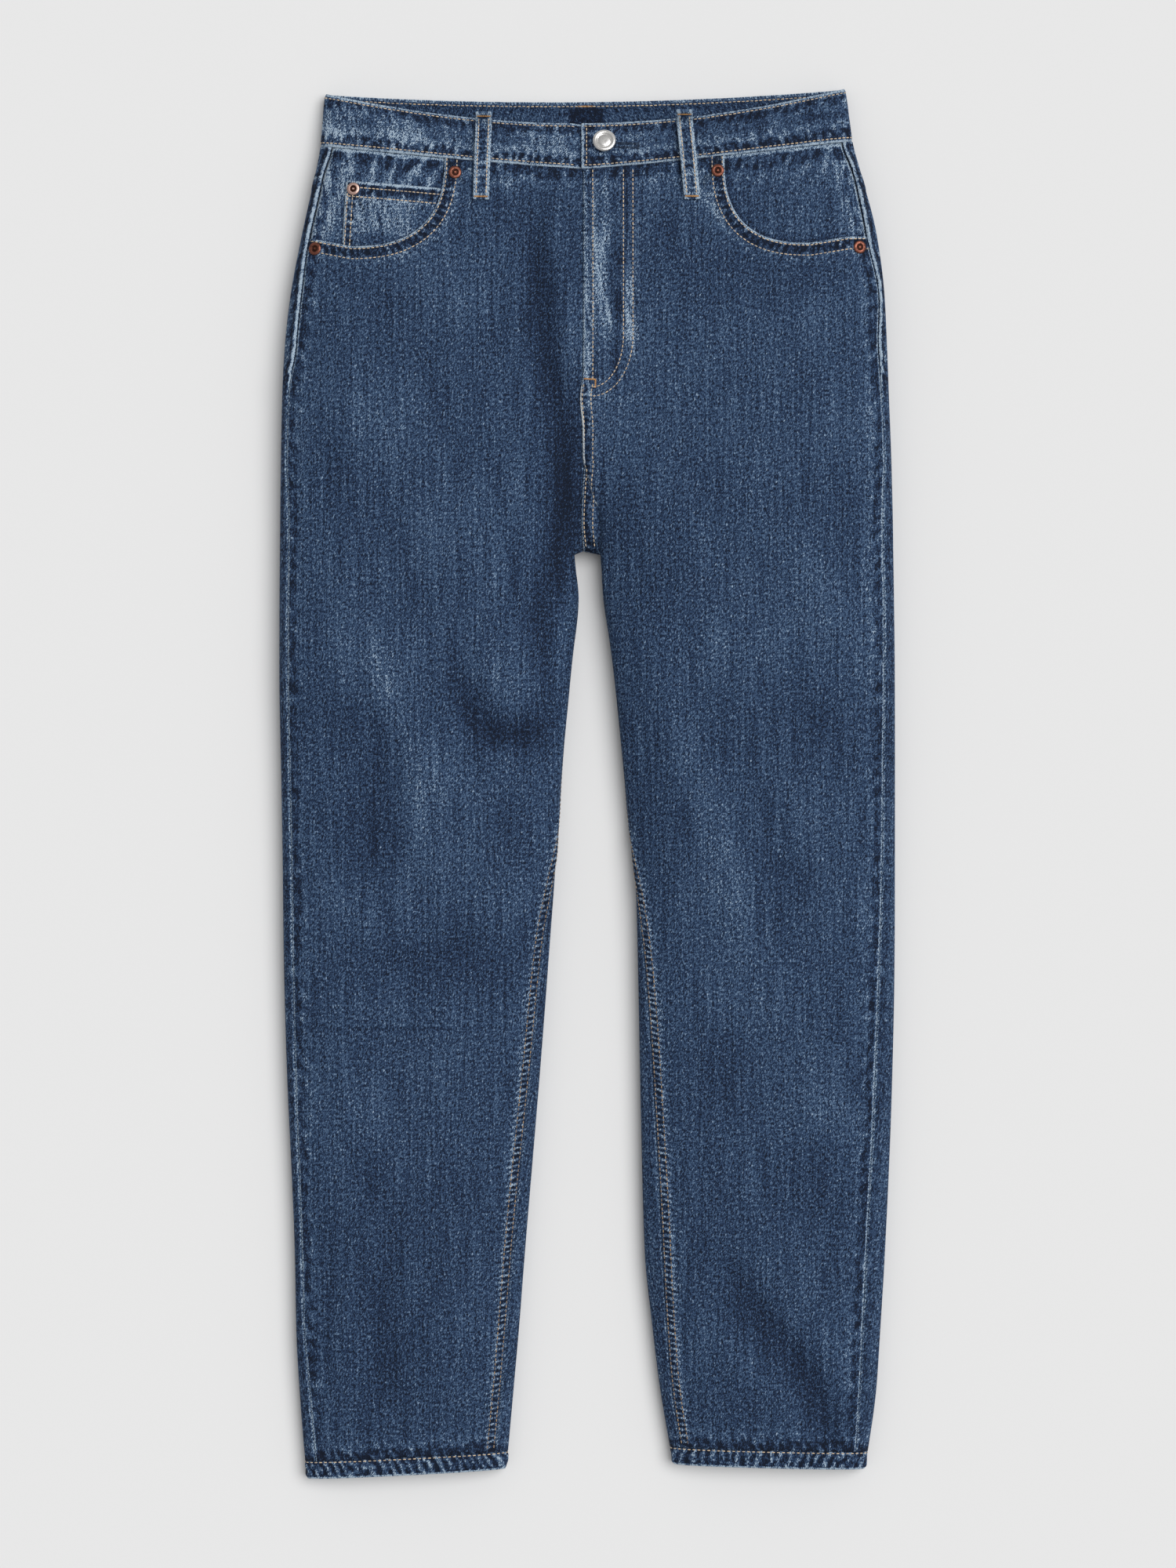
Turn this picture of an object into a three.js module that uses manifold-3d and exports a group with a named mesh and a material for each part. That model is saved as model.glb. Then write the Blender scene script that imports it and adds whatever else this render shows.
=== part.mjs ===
// High-waisted tapered jeans, laid flat on a surface with the front up.
// All sizes are in millimetres. X runs across the garment towards the wearer's left, Y runs up from the hems to
// the waist, and Z is up from the surface that the jeans lie on. The origin is the middle of the underside.
// "Right" and "left" are the wearer's. A distance "out" is measured from the line X = 0 towards that side.
import * as THREE from "three";
import { mergeVertices } from "three/addons/utils/BufferGeometryUtils.js";
import Module from "manifold-3d";

const wasm = await Module();
wasm.setup();

// Driving sizes
const CLOTH = 1.2; // one layer of denim with its share of seam allowance
const SEAM_GAP = 0.3; // clearance between pieces that are sewn together
const BAND_CLOTH = 2.4; // waistband, two layers and its fusing
const HEM_CLOTH = 3; // hem, turned up twice
const HEM_DEPTH = 13;
const BAND_TOP = 504.8;
const BAND_BOTTOM = 465.7;
const HEM_END = -506;
const CROTCH = 168; // where the two legs part
const TILT = 0.01; // the waist lies turned by this slope
const TILT_FADE = 300; // below this length the turn and the waist's dip are gone

// Shape along the length: thickness of the whole garment, how far its underside is held up by pockets and loops
// that it lies on, how far the front and the back dip at the centre, and how sharply the front dips.
const LENGTHS = [
  { v: 505, thick: 16, rest: 2.5, dipFront: 23.8, dipBack: 7.2, bow: 2.0 },
  { v: 466, thick: 25, rest: 2.5, dipFront: 19.4, dipBack: 6.4, bow: 1.2 },
  { v: 425, thick: 29, rest: 2.5, dipFront: 13, dipBack: 3.5, bow: 1.2 },
  { v: 398, thick: 31, rest: 1.5, dipFront: 8, dipBack: 2, bow: 1.2 },
  { v: 300, thick: 34, rest: 1.5, dipFront: 0, dipBack: 0, bow: 1.2 },
  { v: 218, thick: 34.5, rest: 1.5, dipFront: 0, dipBack: 0, bow: 1.2 },
  { v: 190, thick: 34.5, rest: 0, dipFront: 0, dipBack: 0, bow: 1.2 },
  { v: 90, thick: 34, rest: 0, dipFront: 0, dipBack: 0, bow: 1.2 },
  { v: 0, thick: 31.5, rest: 0, dipFront: 0, dipBack: 0, bow: 1.2 },
  { v: -150, thick: 28.5, rest: 0, dipFront: 0, dipBack: 0, bow: 1.2 },
  { v: -300, thick: 26, rest: 0, dipFront: 0, dipBack: 0, bow: 1.2 },
  { v: -430, thick: 24, rest: 0, dipFront: 0, dipBack: 0, bow: 1.2 },
  { v: -506, thick: 21, rest: 0, dipFront: 0, dipBack: 0, bow: 1.2 },
];

// The outline of each half: its outer and inner edge, how far inside the outer edge the side seam shows on the front,
// and the inseam's place as girth round the leg from its inner edge. A negative inseam lies under the leg.
const RIGHT = {
  name: "right",
  side: -1,
  hemRaise: 0,
  hemSlope: -0.05,
  rows: [
    { v: 505, outer: 191, inner: 0, sideSeam: 9, inseam: 0 },
    { v: 464, outer: 194.6, inner: 0, sideSeam: 8.8, inseam: 0 },
    { v: 443, outer: 198.6, inner: 0, sideSeam: 6.5, inseam: 0 },
    { v: 397, outer: 208.4, inner: 0, sideSeam: 6.5, inseam: 0 },
    { v: 355, outer: 216, inner: 0, sideSeam: 8.6, inseam: 0 },
    { v: 318, outer: 220, inner: 0, sideSeam: 9, inseam: 0 },
    { v: 284, outer: 221.8, inner: 0, sideSeam: 5, inseam: 0 },
    { v: 236, outer: 222.8, inner: 2, sideSeam: 4.5, inseam: 0 },
    { v: 214, outer: 223.1, inner: 5, sideSeam: 5.5, inseam: 0 },
    { v: 190, outer: 223.4, inner: 9, sideSeam: 6.5, inseam: 0 },
    { v: 168, outer: 223.6, inner: 9.6, sideSeam: 6.5, inseam: 0 },
    { v: 155, outer: 223.7, inner: 8.6, sideSeam: 6.5, inseam: 0 },
    { v: 135, outer: 223.9, inner: 6.9, sideSeam: 6.5, inseam: -7 },
    { v: 80, outer: 224, inner: 11.8, sideSeam: 6.5, inseam: -13 },
    { v: 0, outer: 222.6, inner: 19.2, sideSeam: 6.5, inseam: -10 },
    { v: -66, outer: 221.6, inner: 23.5, sideSeam: 6.8, inseam: 2 },
    { v: -116, outer: 221.1, inner: 27.2, sideSeam: 7, inseam: 8 },
    { v: -194, outer: 219.2, inner: 33.1, sideSeam: 6.6, inseam: 10 },
    { v: -342, outer: 213, inner: 45.3, sideSeam: 5.5, inseam: 12.3 },
    { v: -400, outer: 211.9, inner: 49.6, sideSeam: 6.1, inseam: 12.3 },
    { v: -447, outer: 209.2, inner: 53.6, sideSeam: 7.8, inseam: 12 },
    { v: -506, outer: 204.5, inner: 58.8, sideSeam: 8, inseam: 12 },
  ],
};
const LEFT = {
  name: "left",
  side: 1,
  hemRaise: 7,
  hemSlope: -0.025,
  rows: [
    { v: 505, outer: 188, inner: -8, sideSeam: 8, inseam: 0 },
    { v: 464, outer: 193.6, inner: -8, sideSeam: 8, inseam: 0 },
    { v: 443, outer: 199.2, inner: -8, sideSeam: 6, inseam: 0 },
    { v: 397, outer: 210.9, inner: -8, sideSeam: 8, inseam: 0 },
    { v: 355, outer: 216.3, inner: -8, sideSeam: 4.5, inseam: 0 },
    { v: 318, outer: 218.1, inner: -8, sideSeam: 6.8, inseam: 0 },
    { v: 284, outer: 219.4, inner: -8, sideSeam: 5.8, inseam: 0 },
    { v: 236, outer: 221.2, inner: -2, sideSeam: 5.5, inseam: 0 },
    { v: 214, outer: 221.8, inner: 4, sideSeam: 7, inseam: 0 },
    { v: 190, outer: 222.4, inner: 9.5, sideSeam: 8, inseam: 0 },
    { v: 168, outer: 222.7, inner: 10, sideSeam: 8.1, inseam: 0 },
    { v: 155, outer: 222.9, inner: 10.9, sideSeam: 8, inseam: 0 },
    { v: 135, outer: 223.2, inner: 12.4, sideSeam: 7.8, inseam: -7 },
    { v: 80, outer: 223.8, inner: 19.3, sideSeam: 8.3, inseam: -14 },
    { v: 0, outer: 224, inner: 27.4, sideSeam: 9.3, inseam: -11 },
    { v: -82, outer: 224, inner: 35.6, sideSeam: 10.3, inseam: 2.5 },
    { v: -137, outer: 223.7, inner: 37, sideSeam: 12, inseam: 8.5 },
    { v: -228, outer: 221.7, inner: 38.8, sideSeam: 13.4, inseam: 13 },
    { v: -342, outer: 216.9, inner: 41.8, sideSeam: 14.2, inseam: 16 },
    { v: -400, outer: 213.6, inner: 47.3, sideSeam: 13.6, inseam: 13.3 },
    { v: -447, outer: 210.6, inner: 52.7, sideSeam: 12.6, inseam: 11.4 },
    { v: -506, outer: 202.6, inner: 62.4, sideSeam: 8.2, inseam: 10 },
  ],
};

// The centre seam's place across, and how high it lies between the legs as they part.
const CENTRE = [
  { v: 446, x: -2.9, front: 1, back: 0 },
  { v: 300, x: -3, front: 1, back: 0 },
  { v: 279, x: -4.4, front: 0.96, back: 0 },
  { v: 258, x: -2.4, front: 0.9, back: 0.01 },
  { v: 236, x: -2, front: 0.8, back: 0.05 },
  { v: 214, x: -3.4, front: 0.64, back: 0.12 },
  { v: 190, x: -4.4, front: 0.28, back: 0.5 },
  { v: 168, x: -2.5, front: 0, back: 1 },
];

// Folds of the front: a line of points across and along, how wide the fold is and how deep. A ridge is negative.
const FOLDS = [
  {
    place: "beside the fly and down the inner thigh",
    width: 9,
    depth: 3.4,
    path: [
      { x: -38, y: 425 },
      { x: -27, y: 384 },
      { x: -31, y: 304 },
      { x: -28, y: 262 },
      { x: -22, y: 217 },
      { x: -28, y: 171 },
      { x: -36, y: 125 },
      { x: -30, y: 80 },
    ],
  },
  {
    place: "under the thigh's bulge",
    width: 13,
    depth: 4,
    path: [
      { x: -93, y: 88 },
      { x: -90, y: 48 },
      { x: -75, y: 33 },
      { x: -34, y: 42 },
    ],
  },
  {
    place: "bulge above it",
    width: 20,
    depth: -2,
    path: [
      { x: -72, y: 82 },
      { x: -52, y: 66 },
    ],
  },
  {
    place: "down the right knee",
    width: 17,
    depth: 2.2,
    path: [
      { x: -152, y: 5 },
      { x: -158, y: -66 },
    ],
  },
  {
    place: "right knee ridge",
    width: 18,
    depth: -2,
    path: [
      { x: -142, y: 74 },
      { x: -108, y: -57 },
    ],
  },
  {
    place: "across the left thigh",
    width: 16,
    depth: -1.8,
    path: [
      { x: 26, y: 118 },
      { x: 84, y: 6 },
      { x: 116, y: -112 },
    ],
  },
  {
    place: "across the left shin",
    width: 12,
    depth: 3.4,
    path: [
      { x: 110, y: -362 },
      { x: 139, y: -400 },
      { x: 164, y: -435 },
      { x: 178, y: -470 },
    ],
  },
  {
    place: "down the right shin",
    width: 14,
    depth: 1.6,
    path: [
      { x: -152, y: -340 },
      { x: -148, y: -440 },
    ],
  },
];
const FOLD_END = 22; // a fold dies away over this length past its ends

// How the cloth turns over at the edges
const EDGE_HEIGHT = 0.45; // of the thickness, where an edge reaches furthest out
const UNDER_TURN = 0.5; // of the thickness, how far the underside's rounding reaches in
const CROWN_POWER = 2.8;
const STEP_ALONG = 16; // a section has a point for each such length
const STEP_TURN = THREE.MathUtils.degToRad(20); // and for each such turn
const BACK_BOW = 2; // how roundly the back dips at the centre
const HEM_FADE = -280; // the hems' slope begins at this length
const FINE = 48; // points in a quarter of a fine section
const VALLEY_POINTS = 4; // points across half of the valley between the legs
const VALLEY_LEAST = 0.5; // a narrower valley has no floor
const VALLEY_FADE = 32; // length over which the valley's columns draw together
const TINY = 1e-9;

// A column of a table at a length, through the rows without overshooting them.
function column(rows, key, v) {
  const n = rows.length;
  if (v >= rows[0].v) return rows[0][key];
  if (v <= rows[n - 1].v) return rows[n - 1][key];
  let i = 0;
  while (rows[i + 1].v > v) i++;
  const span = (k) => rows[k + 1].v - rows[k].v;
  const slope = (k) => (rows[k + 1][key] - rows[k][key]) / span(k);
  const tangent = (k) => {
    if (k === 0 || k === n - 1) return slope(Math.min(k, n - 2));
    const before = slope(k - 1);
    const after = slope(k);
    if (before * after <= 0) return 0;
    return (2 * before * after) / (before + after);
  };
  const h = span(i);
  const t = (v - rows[i].v) / h;
  const s = 1 - t;
  return (
    rows[i][key] * (1 + 2 * t) * s * s +
    tangent(i) * h * t * s * s +
    rows[i + 1][key] * t * t * (3 - 2 * t) -
    tangent(i + 1) * h * t * t * s
  );
}

const smoothstep = THREE.MathUtils.smoothstep;

// How much lower than the plain form the front lies at a place.
function foldDepth(x, y) {
  let depth = 0;
  for (const fold of FOLDS) {
    let nearest = 0;
    for (let k = 0; k + 1 < fold.path.length; k++) {
      const { x: ax, y: ay } = fold.path[k];
      const { x: bx, y: by } = fold.path[k + 1];
      const length = Math.hypot(bx - ax, by - ay);
      const along = ((x - ax) * (bx - ax) + (y - ay) * (by - ay)) / length;
      const held = Math.min(Math.max(along, 0), length);
      const px = ax + ((bx - ax) * held) / length;
      const py = ay + ((by - ay) * held) / length;
      const off = Math.hypot(x - px, y - py);
      const past = Math.abs(along - held) / FOLD_END;
      const ends = Math.exp(-past * past);
      nearest = Math.max(nearest, Math.exp(-((off / fold.width) ** 2)) * ends);
    }
    depth += fold.depth * nearest;
  }
  return depth;
}

// A place of the flat cut, at a length and a distance out, as Y on the surface.
function lengthwise(half, v, out, onFront) {
  const reach = Math.min(out / column(half.rows, "outer", v), 1);
  const bow = onFront ? column(LENGTHS, "bow", v) : BACK_BOW;
  const dip = column(LENGTHS, onFront ? "dipFront" : "dipBack", v);
  const waist = smoothstep(v, TILT_FADE, BAND_BOTTOM);
  const hem = smoothstep(-v, -HEM_FADE, -HEM_END);
  const fromOuter = column(half.rows, "outer", v) - out;
  return (
    v -
    dip * (1 - Math.abs(reach) ** bow) +
    TILT * half.side * out * waist +
    hem * (half.hemRaise - half.hemSlope * fromOuter)
  );
}

// One half's section at a length: a line of points from the centre front over the top, round the side, along the
// underside and back to the centre, with the places of its seams on that line.
const sections = new Map();
function section(half, v) {
  const key = half.name + v.toFixed(3);
  if (sections.has(key)) return sections.get(key);
  const outer = column(half.rows, "outer", v);
  const thick = column(LENGTHS, "thick", v);
  const rest = column(LENGTHS, "rest", v);
  const open = v >= CROTCH;
  const free = column(half.rows, "inner", v);
  const centre = open ? half.side * column(CENTRE, "x", v) : free;
  const inner = Math.max(free, centre);
  const edge = rest + EDGE_HEIGHT * (thick - rest);
  const layer = open ? CLOTH + SEAM_GAP / 2 : 0;
  const floor = open
    ? edge + layer + column(CENTRE, "front", v) * (thick - edge - layer)
    : edge;
  const roof = open
    ? rest + column(CENTRE, "back", v) * (edge - layer - rest)
    : edge;
  const middle = (inner + outer) / 2;
  const width = (outer - inner) / 2;
  const under = UNDER_TURN * (thick - rest);
  const line = [];
  const place = (out, z, onFront) => {
    const y = lengthwise(half, v, out, onFront);
    const x = half.side * out;
    const rise = onFront ? Math.max(z - edge, 0) / (thick - edge) : 0;
    line.push(new THREE.Vector3(x, y, z - foldDepth(x, y) * rise));
  };
  const quarter = Math.PI / 2;
  const valley = open && inner - centre > VALLEY_LEAST;
  const across = (k) => centre + ((inner - centre) * k) / VALLEY_POINTS;
  if (valley) for (let k = 0; k < VALLEY_POINTS; k++) place(across(k), floor, true);
  for (let k = 0; k <= FINE; k++) {
    const a = quarter * (1 - k / FINE);
    const s = Math.sin(a) ** (2 / CROWN_POWER);
    place(middle - width * s, floor + (thick - floor) * Math.cos(a), true);
  }
  for (let k = 1; k <= FINE; k++) {
    const a = (quarter * k) / FINE;
    const s = Math.sin(a) ** (2 / CROWN_POWER);
    place(middle + width * s, edge + (thick - edge) * Math.cos(a), true);
  }
  const side = line.length - 1;
  for (let k = 1; k <= FINE; k++) {
    const a = (quarter * k) / FINE;
    const out = outer - under * (1 - Math.cos(a));
    place(out, edge - (edge - rest) * Math.sin(a), false);
  }
  const share = (roof - rest) / (edge - rest);
  const turn = Math.max(under * Math.min(share, 1), VALLEY_LEAST);
  const flat = outer - under - (inner + turn);
  for (let k = 1; k < FINE; k++)
    place(outer - under - (flat * k) / FINE, rest, false);
  for (let k = 0; k <= FINE; k++) {
    const a = (quarter * k) / FINE;
    const out = inner + turn * (1 - Math.sin(a));
    place(out, roof - (roof - rest) * Math.cos(a), false);
  }
  if (valley)
    for (let k = VALLEY_POINTS - 1; k >= 0; k--) place(across(k), roof, false);
  const made = { half, v, line, side, inner, outer, open };
  sections.set(key, made);
  return made;
}

// Where on a section's line the side seam lies, on the front's outer half.
function sideSeamAt(made) {
  const { line, half, side } = made;
  const wanted = made.outer - column(half.rows, "sideSeam", made.v);
  const out = (k) => line[k].x * half.side;
  let k = side;
  while (out(k - 1) > wanted) k--;
  return k - 1 + (wanted - out(k - 1)) / (out(k) - out(k - 1));
}

// Where on a section's line the inseam lies: at the start on the hips, else so much girth from the inner edge.
function inseamAt(made) {
  if (made.open) return 0;
  const { line } = made;
  const wanted = column(made.half.rows, "inseam", made.v);
  const step = wanted < 0 ? -1 : 1;
  let k = wanted < 0 ? line.length - 1 : 0;
  let gone = 0;
  for (;;) {
    const length = line[k].distanceTo(line[k + step]);
    if (gone + length >= Math.abs(wanted))
      return k + (step * (Math.abs(wanted) - gone)) / length;
    gone += length;
    k += step;
  }
}

function pointAt(line, at) {
  const k = Math.min(Math.floor(at), line.length - 2);
  return line[k].clone().lerp(line[k + 1], at - k);
}

// So many points from one place of a section's line to another, closer together where the line turns outwards. The
// valley between the legs counts for less as it narrows towards the crotch.
function spaced(made, from, to, count) {
  const { half, inner, open } = made;
  const line = open ? made.line : made.line.concat(made.line.slice(1));
  const points = [pointAt(line, from)];
  for (let k = Math.floor(from) + 1; k < to; k++) points.push(line[k]);
  points.push(pointAt(line, to));
  const valley = open ? smoothstep(made.v, CROTCH, CROTCH + VALLEY_FADE) : 1;
  const cost = [0];
  for (let k = 1; k < points.length; k++) {
    const step = points[k].clone().sub(points[k - 1]);
    let turn = 0;
    if (k + 1 < points.length) {
      const next = points[k + 1].clone().sub(points[k]);
      const outwards = (step.z * next.x - step.x * next.z) * half.side > 0;
      if (outwards && step.lengthSq() > TINY && next.lengthSq() > TINY)
        turn = step.angleTo(next);
    }
    const inValley = points[k].x * half.side <= inner + TINY;
    const share = inValley ? valley : 1;
    cost.push(cost[k - 1] + (step.length() * share) / STEP_ALONG + turn / STEP_TURN);
  }
  const total = cost[cost.length - 1];
  const out = [];
  let k = 0;
  for (let j = 0; j < count; j++) {
    const want = (total * j) / (count - 1);
    while (k + 2 < cost.length && cost[k + 1] < want) k++;
    const t = (want - cost[k]) / Math.max(cost[k + 1] - cost[k], TINY);
    const held = Math.min(Math.max(t, 0), 1);
    out.push(j === 0 ? points[0].clone() : points[k].clone().lerp(points[k + 1], held));
  }
  return out;
}

// The front's line from the centre or inseam to the side seam, and the back's from there round to the centre.
function frontLine(half, v, count) {
  const made = section(half, v);
  const side = sideSeamAt(made);
  const seam = inseamAt(made);
  if (seam < made.side) return spaced(made, seam, side, count);
  return spaced(made, seam, side + made.line.length - 1, count);
}
function backLine(half, v, count) {
  const made = section(half, v);
  const side = sideSeamAt(made);
  const seam = inseamAt(made);
  const last = made.line.length - 1;
  if (made.open) return spaced(made, side, last, count);
  return spaced(made, side, seam > made.side ? seam : seam + last, count);
}

// Outward normals of a grid of points, rows down the length and columns from the centre front round to the back.
function normalsOf(grid, side, closed = false) {
  const rows = grid.length;
  const cols = grid[0].length;
  const wraps = typeof closed === "function" ? closed : () => closed;
  return grid.map((row, i) =>
    row.map((_, j) => {
      const round = wraps(i);
      const before = round ? (j + cols - 1) % cols : Math.max(j - 1, 0);
      const after = round ? (j + 1) % cols : Math.min(j + 1, cols - 1);
      const across = grid[i][after].clone().sub(grid[i][before]);
      const down = grid[Math.min(i + 1, rows - 1)][j]
        .clone()
        .sub(grid[Math.max(i - 1, 0)][j]);
      return down.cross(across).normalize().multiplyScalar(side);
    }),
  );
}

// A half's front and back panels as grids. They share one ring of normals, so that their walls turn together at
// the seams, and each seam has its gap.
function panelGrids(half, lengths) {
  const { side } = half;
  const front = lengths.map((v) => frontLine(half, v, FRONT_COLUMNS));
  const back = lengths.map((v) => backLine(half, v, BACK_COLUMNS));
  const ring = front.map((row, i) => row.concat(back[i].slice(1, -1)));
  const lastFront = FRONT_COLUMNS - 1;
  const lastBack = BACK_COLUMNS - 1;
  const opened = (i) => lengths[i] >= CROTCH;
  const wrapped = ring.map((row, i) => row.concat([back[i][lastBack]]));
  const openNormals = normalsOf(wrapped, side);
  const shutNormals = normalsOf(ring, side, true);
  const frontNormals = [];
  const backNormals = [];
  const level = (n) => n.clone().setX(0).normalize();
  lengths.forEach((v, i) => {
    const from = opened(i) ? openNormals[i] : shutNormals[i];
    const whole = from.slice(0, ring[0].length);
    whole.push(opened(i) ? openNormals[i][ring[0].length] : whole[0]);
    frontNormals.push(whole.slice(0, FRONT_COLUMNS));
    backNormals.push(whole.slice(lastFront));
    const way = back[i][1].clone().sub(front[i][lastFront - 1]).normalize();
    const seam = front[i][lastFront].clone();
    front[i][lastFront] = seam.clone().addScaledVector(way, -SEAM_GAP / 2);
    back[i][0] = seam.clone().addScaledVector(way, SEAM_GAP / 2);
    if (opened(i)) {
      frontNormals[i][0] = level(frontNormals[i][0]);
      backNormals[i][lastBack] = level(backNormals[i][lastBack]);
      front[i][0].x += (side * SEAM_GAP) / 2;
      back[i][lastBack].x += (side * SEAM_GAP) / 2;
    } else {
      const round = front[i][1].clone().sub(back[i][lastBack - 1]).normalize();
      const inseam = front[i][0].clone();
      front[i][0] = inseam.clone().addScaledVector(round, SEAM_GAP / 2);
      back[i][lastBack] = inseam.addScaledVector(round, -SEAM_GAP / 2);
    }
  });
  return { front, back, frontNormals, backNormals };
}

// A closed wall of cloth on a grid: its outer face so far out from the grid, and so thick.
function clothWall(grid, side, options) {
  const { out = 0, thick = CLOTH, closed = false } = options;
  const outs = typeof out === "function" ? out : () => out;
  const normals = options.normals ?? normalsOf(grid, side, closed);
  const rows = grid.length;
  const cols = grid[0].length;
  const vertices = [];
  const put = (i, j, shift) => {
    const p = grid[i][j].clone().addScaledVector(normals[i][j], shift);
    vertices.push(p.x, p.y, p.z);
  };
  for (let i = 0; i < rows; i++)
    for (let j = 0; j < cols; j++) put(i, j, outs(grid[i][j], i, j));
  for (let i = 0; i < rows; i++)
    for (let j = 0; j < cols; j++) put(i, j, outs(grid[i][j], i, j) - thick);
  const faces = [];
  const quad = (a, b, c, d) => {
    if (side > 0) faces.push(a, b, c, a, c, d);
    else faces.push(a, c, b, a, d, c);
  };
  const at = (i, j, inner) => (inner ? rows * cols : 0) + i * cols + (j % cols);
  const last = closed ? cols : cols - 1;
  for (let i = 0; i + 1 < rows; i++)
    for (let j = 0; j < last; j++) {
      quad(at(i, j), at(i + 1, j), at(i + 1, j + 1), at(i, j + 1));
      quad(
        at(i, j, 1),
        at(i, j + 1, 1),
        at(i + 1, j + 1, 1),
        at(i + 1, j, 1),
      );
    }
  for (let j = 0; j < last; j++) {
    quad(at(0, j), at(0, j + 1), at(0, j + 1, 1), at(0, j, 1));
    const r = rows - 1;
    quad(at(r, j), at(r, j, 1), at(r, j + 1, 1), at(r, j + 1));
  }
  if (!closed)
    for (let i = 0; i + 1 < rows; i++) {
      quad(at(i, 0), at(i, 0, 1), at(i + 1, 0, 1), at(i + 1, 0));
      const c = cols - 1;
      quad(at(i, c), at(i + 1, c), at(i + 1, c, 1), at(i, c, 1));
    }
  const geometry = new THREE.BufferGeometry();
  const positions = new THREE.BufferAttribute(new Float32Array(vertices), 3);
  geometry.setAttribute("position", positions);
  geometry.setIndex(faces);
  return geometry;
}

const MERGE = 1e-4; // points closer than this are one
function solidOf(geometry) {
  const plain = geometry.clone();
  plain.deleteAttribute("normal");
  plain.deleteAttribute("uv");
  const merged = mergeVertices(plain, MERGE);
  return new wasm.Manifold(
    new wasm.Mesh({
      numProp: 3,
      vertProperties: new Float32Array(merged.attributes.position.array),
      triVerts: new Uint32Array(merged.index.array),
    }),
  );
}

function geometryOf(solid) {
  const mesh = solid.getMesh();
  const geometry = new THREE.BufferGeometry();
  const positions = new THREE.BufferAttribute(mesh.vertProperties, 3);
  geometry.setAttribute("position", positions);
  geometry.setIndex(new THREE.BufferAttribute(mesh.triVerts, 1));
  return geometry;
}

const CUT_HEIGHT = 100;
const CUT_BELOW = 30;
const CUT_TOP = 560; // past the waist
const CUT_SIDE = 260; // past the hips

// A tall cutter over an outline in plan, from below the garment to above it.
function cutter(points) {
  const shape = new THREE.Shape(points.map(([x, y]) => new THREE.Vector2(x, y)));
  const geometry = new THREE.ExtrudeGeometry(shape, {
    depth: CUT_HEIGHT,
    bevelEnabled: false,
  });
  geometry.translate(0, 0, -CUT_BELOW);
  return solidOf(geometry);
}

// The biggest body of a solid, for a cut that leaves slivers.
function largest(solid) {
  const bodies = solid.decompose();
  bodies.sort((a, b) => b.volume() - a.volume());
  return bodies[0];
}

const denim = new THREE.MeshStandardMaterial({
  color: 0x2c4a70,
  roughness: 0.9,
});
const denimDark = new THREE.MeshStandardMaterial({
  color: 0x1f3350,
  roughness: 0.9,
});
const copper = new THREE.MeshStandardMaterial({
  color: 0xa8654c,
  roughness: 0.4,
  metalness: 1,
});
const nickel = new THREE.MeshStandardMaterial({
  color: 0xc9c7c2,
  roughness: 0.3,
  metalness: 1,
});

const jeans = new THREE.Group();
function add(name, geometry, material) {
  const mesh = new THREE.Mesh(geometry, material);
  mesh.name = name;
  jeans.add(mesh);
  return mesh;
}

// Lengths at which the panels have a section, closer together where the legs part.
const PARTING = [168, 174, 182, 192, 204, 218, 236, 258];
function stations(from, to) {
  const LEG_STEP = 31;
  const HIP_STEP = 24;
  const list = [from];
  const fill = (a, b, step) => {
    const n = Math.max(Math.round((b - a) / step), 1);
    for (let k = 1; k <= n; k++) list.push(a + ((b - a) * k) / n);
  };
  if (from < CROTCH) {
    fill(from, CROTCH - 3, LEG_STEP);
    for (const v of PARTING) list.push(v);
  }
  fill(list[list.length - 1], to, HIP_STEP);
  return list.reverse();
}

const PANEL_TOP = BAND_BOTTOM - SEAM_GAP / 2;
const PANEL_END = HEM_END + HEM_DEPTH + SEAM_GAP / 2;
const FRONT_COLUMNS = 13;
const BACK_COLUMNS = 13;

// Pocket openings: a rounded corner cut out of each front, given by its middle, its reach, and where its mouth
// meets the side seam.
const POCKETS = {
  right: { cx: -171, cy: 455, rx: 67.5, ry: 65.5, sideY: 395 },
  left: { cx: 161, cy: 452, rx: 61.5, ry: 60, sideY: 396.5 },
};
const SCOOP_POWER = 2.6;

// The pocket opening's outline in plan, grown by a margin.
function scoop(pocket, margin) {
  const { cx, cy, rx, ry, sideY } = pocket;
  const LIP = 28; // the mouth's last stretch to the side seam, which rises a little
  const LIP_RISE = 0.5;
  const SIDE_RISE = 3;
  const towardsCentre = -Math.sign(cx);
  const points = [[cx + towardsCentre * (rx + margin), CUT_TOP]];
  const STEPS = 12;
  for (let k = 0; k <= STEPS; k++) {
    const a = (Math.PI / 2) * (k / STEPS);
    const c = Math.cos(a) ** (2 / SCOOP_POWER);
    const s = Math.sin(a) ** (2 / SCOOP_POWER);
    points.push([
      cx + towardsCentre * (rx + margin) * c,
      cy - (ry + margin) * s,
    ]);
  }
  points.push([cx - towardsCentre * LIP, sideY - margin + LIP_RISE]);
  points.push([-towardsCentre * CUT_SIDE, sideY - margin + SIDE_RISE]);
  points.push([-towardsCentre * CUT_SIDE, CUT_TOP]);
  return cutter(points);
}

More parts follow.
